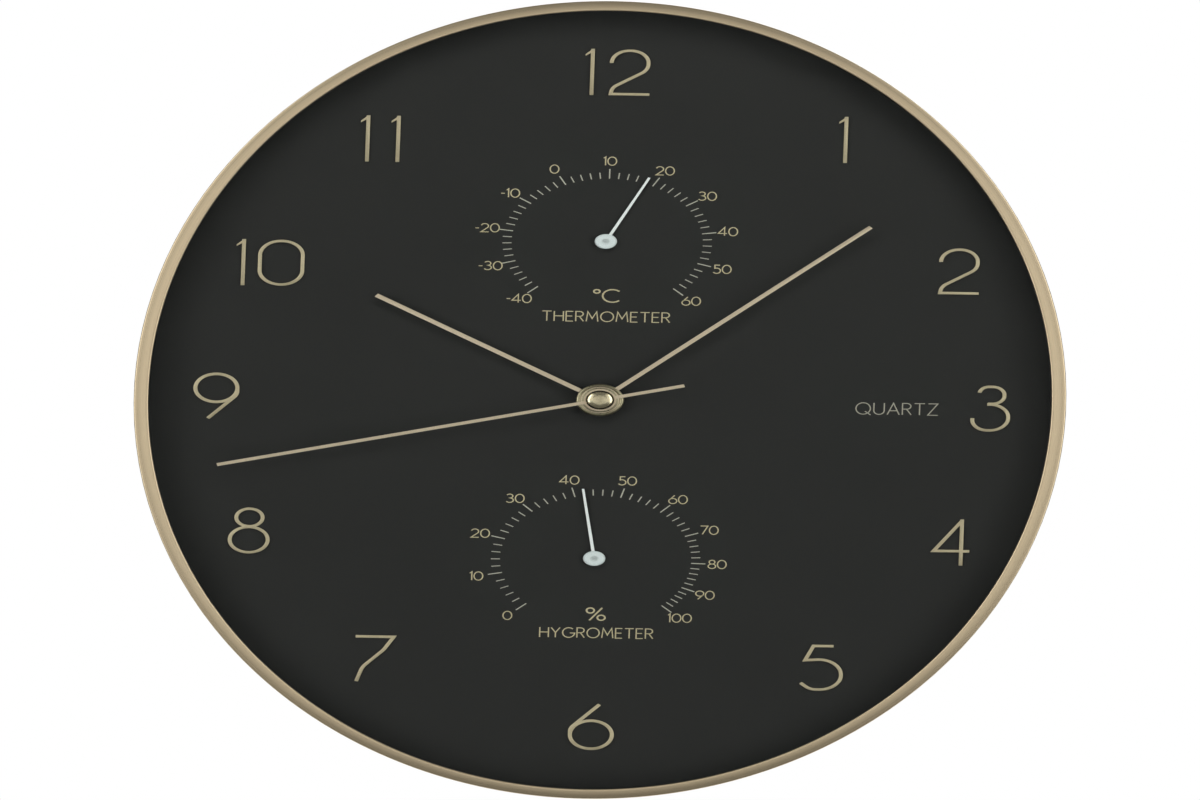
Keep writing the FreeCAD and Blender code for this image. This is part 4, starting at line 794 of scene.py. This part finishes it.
def bezel_profile():
    """Section of the front ring: rounded outer edge, crowned face, bright inner bevel, skirt."""
    low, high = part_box("bezel")
    front, rear = low.y, high.y
    plate_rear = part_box("case_rim")[0].y
    profile = [(0.0, plate_rear)]
    for index in range(EDGE_STEPS + 1):
        turn = math.radians(EDGE_SWEEP * index / EDGE_STEPS)
        profile.append((EDGE_RADIUS * (1 - math.cos(turn)),
                        front + CROWN + EDGE_RADIUS * (1 - math.sin(turn))))
    for index in range(1, FACE_STEPS + 1):
        share = index / FACE_STEPS
        inset = EDGE_RADIUS + (BAND - BEVEL - EDGE_RADIUS) * share
        profile.append((inset, front + CROWN * (1 - share) ** CROWN_POWER))
    for index in range(1, BEVEL_STEPS + 1):
        turn = math.radians(90.0 * index / BEVEL_STEPS)
        profile.append((BAND - BEVEL + BEVEL * math.sin(turn), front + BEVEL_FALL * (1 - math.cos(turn))))
    profile += [(BAND, plate_rear), (SKIRT_IN, plate_rear), (SKIRT_IN, rear), (SKIRT_OUT, rear),
                (SKIRT_OUT, plate_rear)]
    return profile


bezel_shape = swept_oval(bezel_profile(), ROUND_STEPS, BAND)
bezel_mesh = bpy.data.meshes.new("bezel_ring")
bezel_shape.to_mesh(bezel_mesh)
bezel_shape.free()
soften(bezel_mesh, RING_SMOOTH)
add_piece("bezel_ring", bezel_mesh, "case", ring_gold, ("bezel",))


# Stage: floor, flags, lamps, world and camera

def stage_plane(name, size_x, size_y, place, rotation, material):
    """Flat rectangle of the studio, which isn't part of the clock."""
    mesh = bpy.data.meshes.new(name)
    shape = bmesh.new()
    bmesh.ops.create_grid(shape, x_segments=1, y_segments=1, size=0.5)
    bmesh.ops.scale(shape, vec=(size_x, size_y, 1), verts=shape.verts)
    shape.to_mesh(mesh)
    shape.free()
    obj = bpy.data.objects.new(name, mesh)
    SCENE.collection.objects.link(obj)
    obj.location = place
    obj.rotation_euler = rotation
    paint(obj, material)
    return obj


def glow(name, level):
    """Plain white light of a level."""
    material, nodes, links, shader = new_material(name)
    nodes.remove(shader)
    emission = nodes.new("ShaderNodeEmission")
    emission.inputs["Color"].default_value = (1, 1, 1, 1)
    emission.inputs["Strength"].default_value = level
    links.new(emission.outputs["Emission"], nodes["Material Output"].inputs["Surface"])
    return material


QUARTER_TURN = math.radians(90)
FACING, FLAT, SIDEWAYS = (QUARTER_TURN, 0, 0), (0, 0, 0), (0, QUARTER_TURN, 0)
FLOOR_SIZE = 9.0
FLOOR_Z = cad_low.z - 0.35
floor_look = grained("pale_floor", (0.92, 0.92, 0.92), 0.7, grain=40, vary=0.015, specular=0.2)
stage_plane("floor", FLOOR_SIZE, FLOOR_SIZE, (0, 0, FLOOR_Z), FLAT, floor_look)


def flag(name, size_x, size_y, place, turn, level):
    """Dark card that only the gloss sees, as a studio's black cards are."""
    card = stage_plane(name, size_x, size_y, place, turn, glow(name, level))
    card.visible_camera = False
    card.visible_diffuse = False
    card.visible_shadow = False
    card.visible_transmission = False


# Cards as (name, width, length, place, turn, level): before, over and under the lens, and at its sides
FLAGS = (
    ("flag_middle", 0.42, 0.5, (HAND_X, -5.5, HAND_Z), FACING, 0.0),
    ("flag_high", 2.2, 2.6, (HAND_X, -5.0, HAND_Z + 1.75), FACING, 0.13),
    ("flag_low", 2.2, 2.6, (HAND_X, -5.0, HAND_Z - 1.75), FACING, 0.15),
    ("flag_roof", 3.0, 5.6, (HAND_X, -2.2, HAND_Z + 1.7), FLAT, 0.2),
    ("flag_ground", 3.0, 4.8, (HAND_X, -2.6, FLOOR_Z + 0.01), FLAT, 0.16),
    ("flag_left", 3.0, 3.4, (-2.1, 0.85, HAND_Z), SIDEWAYS, 0.28),
    ("flag_right", 3.0, 3.4, (2.1, 0.85, HAND_Z), SIDEWAYS, 0.28),
)
for flag_values in FLAGS:
    flag(*flag_values)


def lamp(name, place, size_x, size_y, power):
    """Rectangular lamp turned towards the clock's middle."""
    data = bpy.data.lights.new(name, "AREA")
    data.shape = "RECTANGLE"
    data.size = size_x
    data.size_y = size_y
    data.energy = power
    obj = bpy.data.objects.new(name, data)
    SCENE.collection.objects.link(obj)
    obj.location = place
    obj.rotation_euler = (CENTRE - Vector(place)).to_track_quat("-Z", "Y").to_euler()
    return obj


lamp("lamp_left", (-1.7, -1.5, 0.15), 1.3, 2.0, 17.0)
lamp("lamp_right", (1.7, -1.5, 0.15), 1.3, 2.0, 17.0)
lamp("lamp_rear", (0.6, 1.9, 0.9), 1.4, 1.4, 14.0)
lamp("lamp_high", (0.1, -0.8, 0.75), 0.6, 0.6, 4.5).visible_glossy = False


def white_world(level):
    """White where the camera, gloss or glass looks past the object; a plain level as light."""
    world = bpy.data.worlds.new("white_world")
    world.use_nodes = True
    nodes, links = world.node_tree.nodes, world.node_tree.links
    rays = nodes.new("ShaderNodeLightPath")
    total = rays.outputs["Is Camera Ray"]
    for output in ("Is Glossy Ray", "Is Transmission Ray"):
        either = nodes.new("ShaderNodeMath")
        either.operation = "MAXIMUM"
        links.new(total, either.inputs[0])
        links.new(rays.outputs[output], either.inputs[1])
        total = either.outputs["Value"]
    mix = nodes.new("ShaderNodeMixShader")
    seen = nodes.new("ShaderNodeBackground")
    light = nodes["Background"]
    for background, strength in ((seen, 1.0), (light, level)):
        background.inputs["Color"].default_value = (1, 1, 1, 1)
        background.inputs["Strength"].default_value = strength
    links.new(total, mix.inputs["Fac"])
    links.new(light.outputs["Background"], mix.inputs[1])
    links.new(seen.outputs["Background"], mix.inputs[2])
    links.new(mix.outputs["Shader"], nodes["World Output"].inputs["Surface"])
    SCENE.world = world


white_world(0.85)
SCENE.view_settings.view_transform = "Standard"

# Camera: squarely in front and level, but for a slight roll. The photograph shows the clock 1.5 times
# wider than it is, as a square picture pulled out to the frame, so the frontal camera's plane is swung
# away by the angle that narrows what it sees of the clock's width to the same share. A plain camera
# would show the clock's true oval.
WIDENING = 1.5
ROLL = math.radians(1.4)
VIEW_WIDTH = 0.579
CAMERA_DISTANCE = 1.5


def stretched_camera():
    """Orthographic camera whose picture plane is swung about the clock's upright axis."""
    swing = math.acos(1 / WIDENING)
    across = Vector((math.cos(ROLL), 0, math.sin(ROLL)))
    up = Vector((-math.sin(ROLL), 0, math.cos(ROLL)))
    slanted = across * math.cos(swing) + Vector((0, math.sin(swing), 0))
    place = CENTRE - Vector((0, CAMERA_DISTANCE, 0))
    matrix = Matrix.Identity(4)
    for column, vector in enumerate((slanted, up, Vector((0, -1, 0)), place)):
        for row in range(3):
            matrix[row][column] = vector[row]
    data = bpy.data.cameras.new("camera")
    data.type = "ORTHO"
    data.ortho_scale = VIEW_WIDTH
    camera = bpy.data.objects.new("camera", data)
    stand = bpy.data.objects.new("camera_stand", None)
    for obj in (camera, stand):
        SCENE.collection.objects.link(obj)
    camera.parent = stand
    camera.matrix_parent_inverse = matrix
    SCENE.camera = camera


stretched_camera()
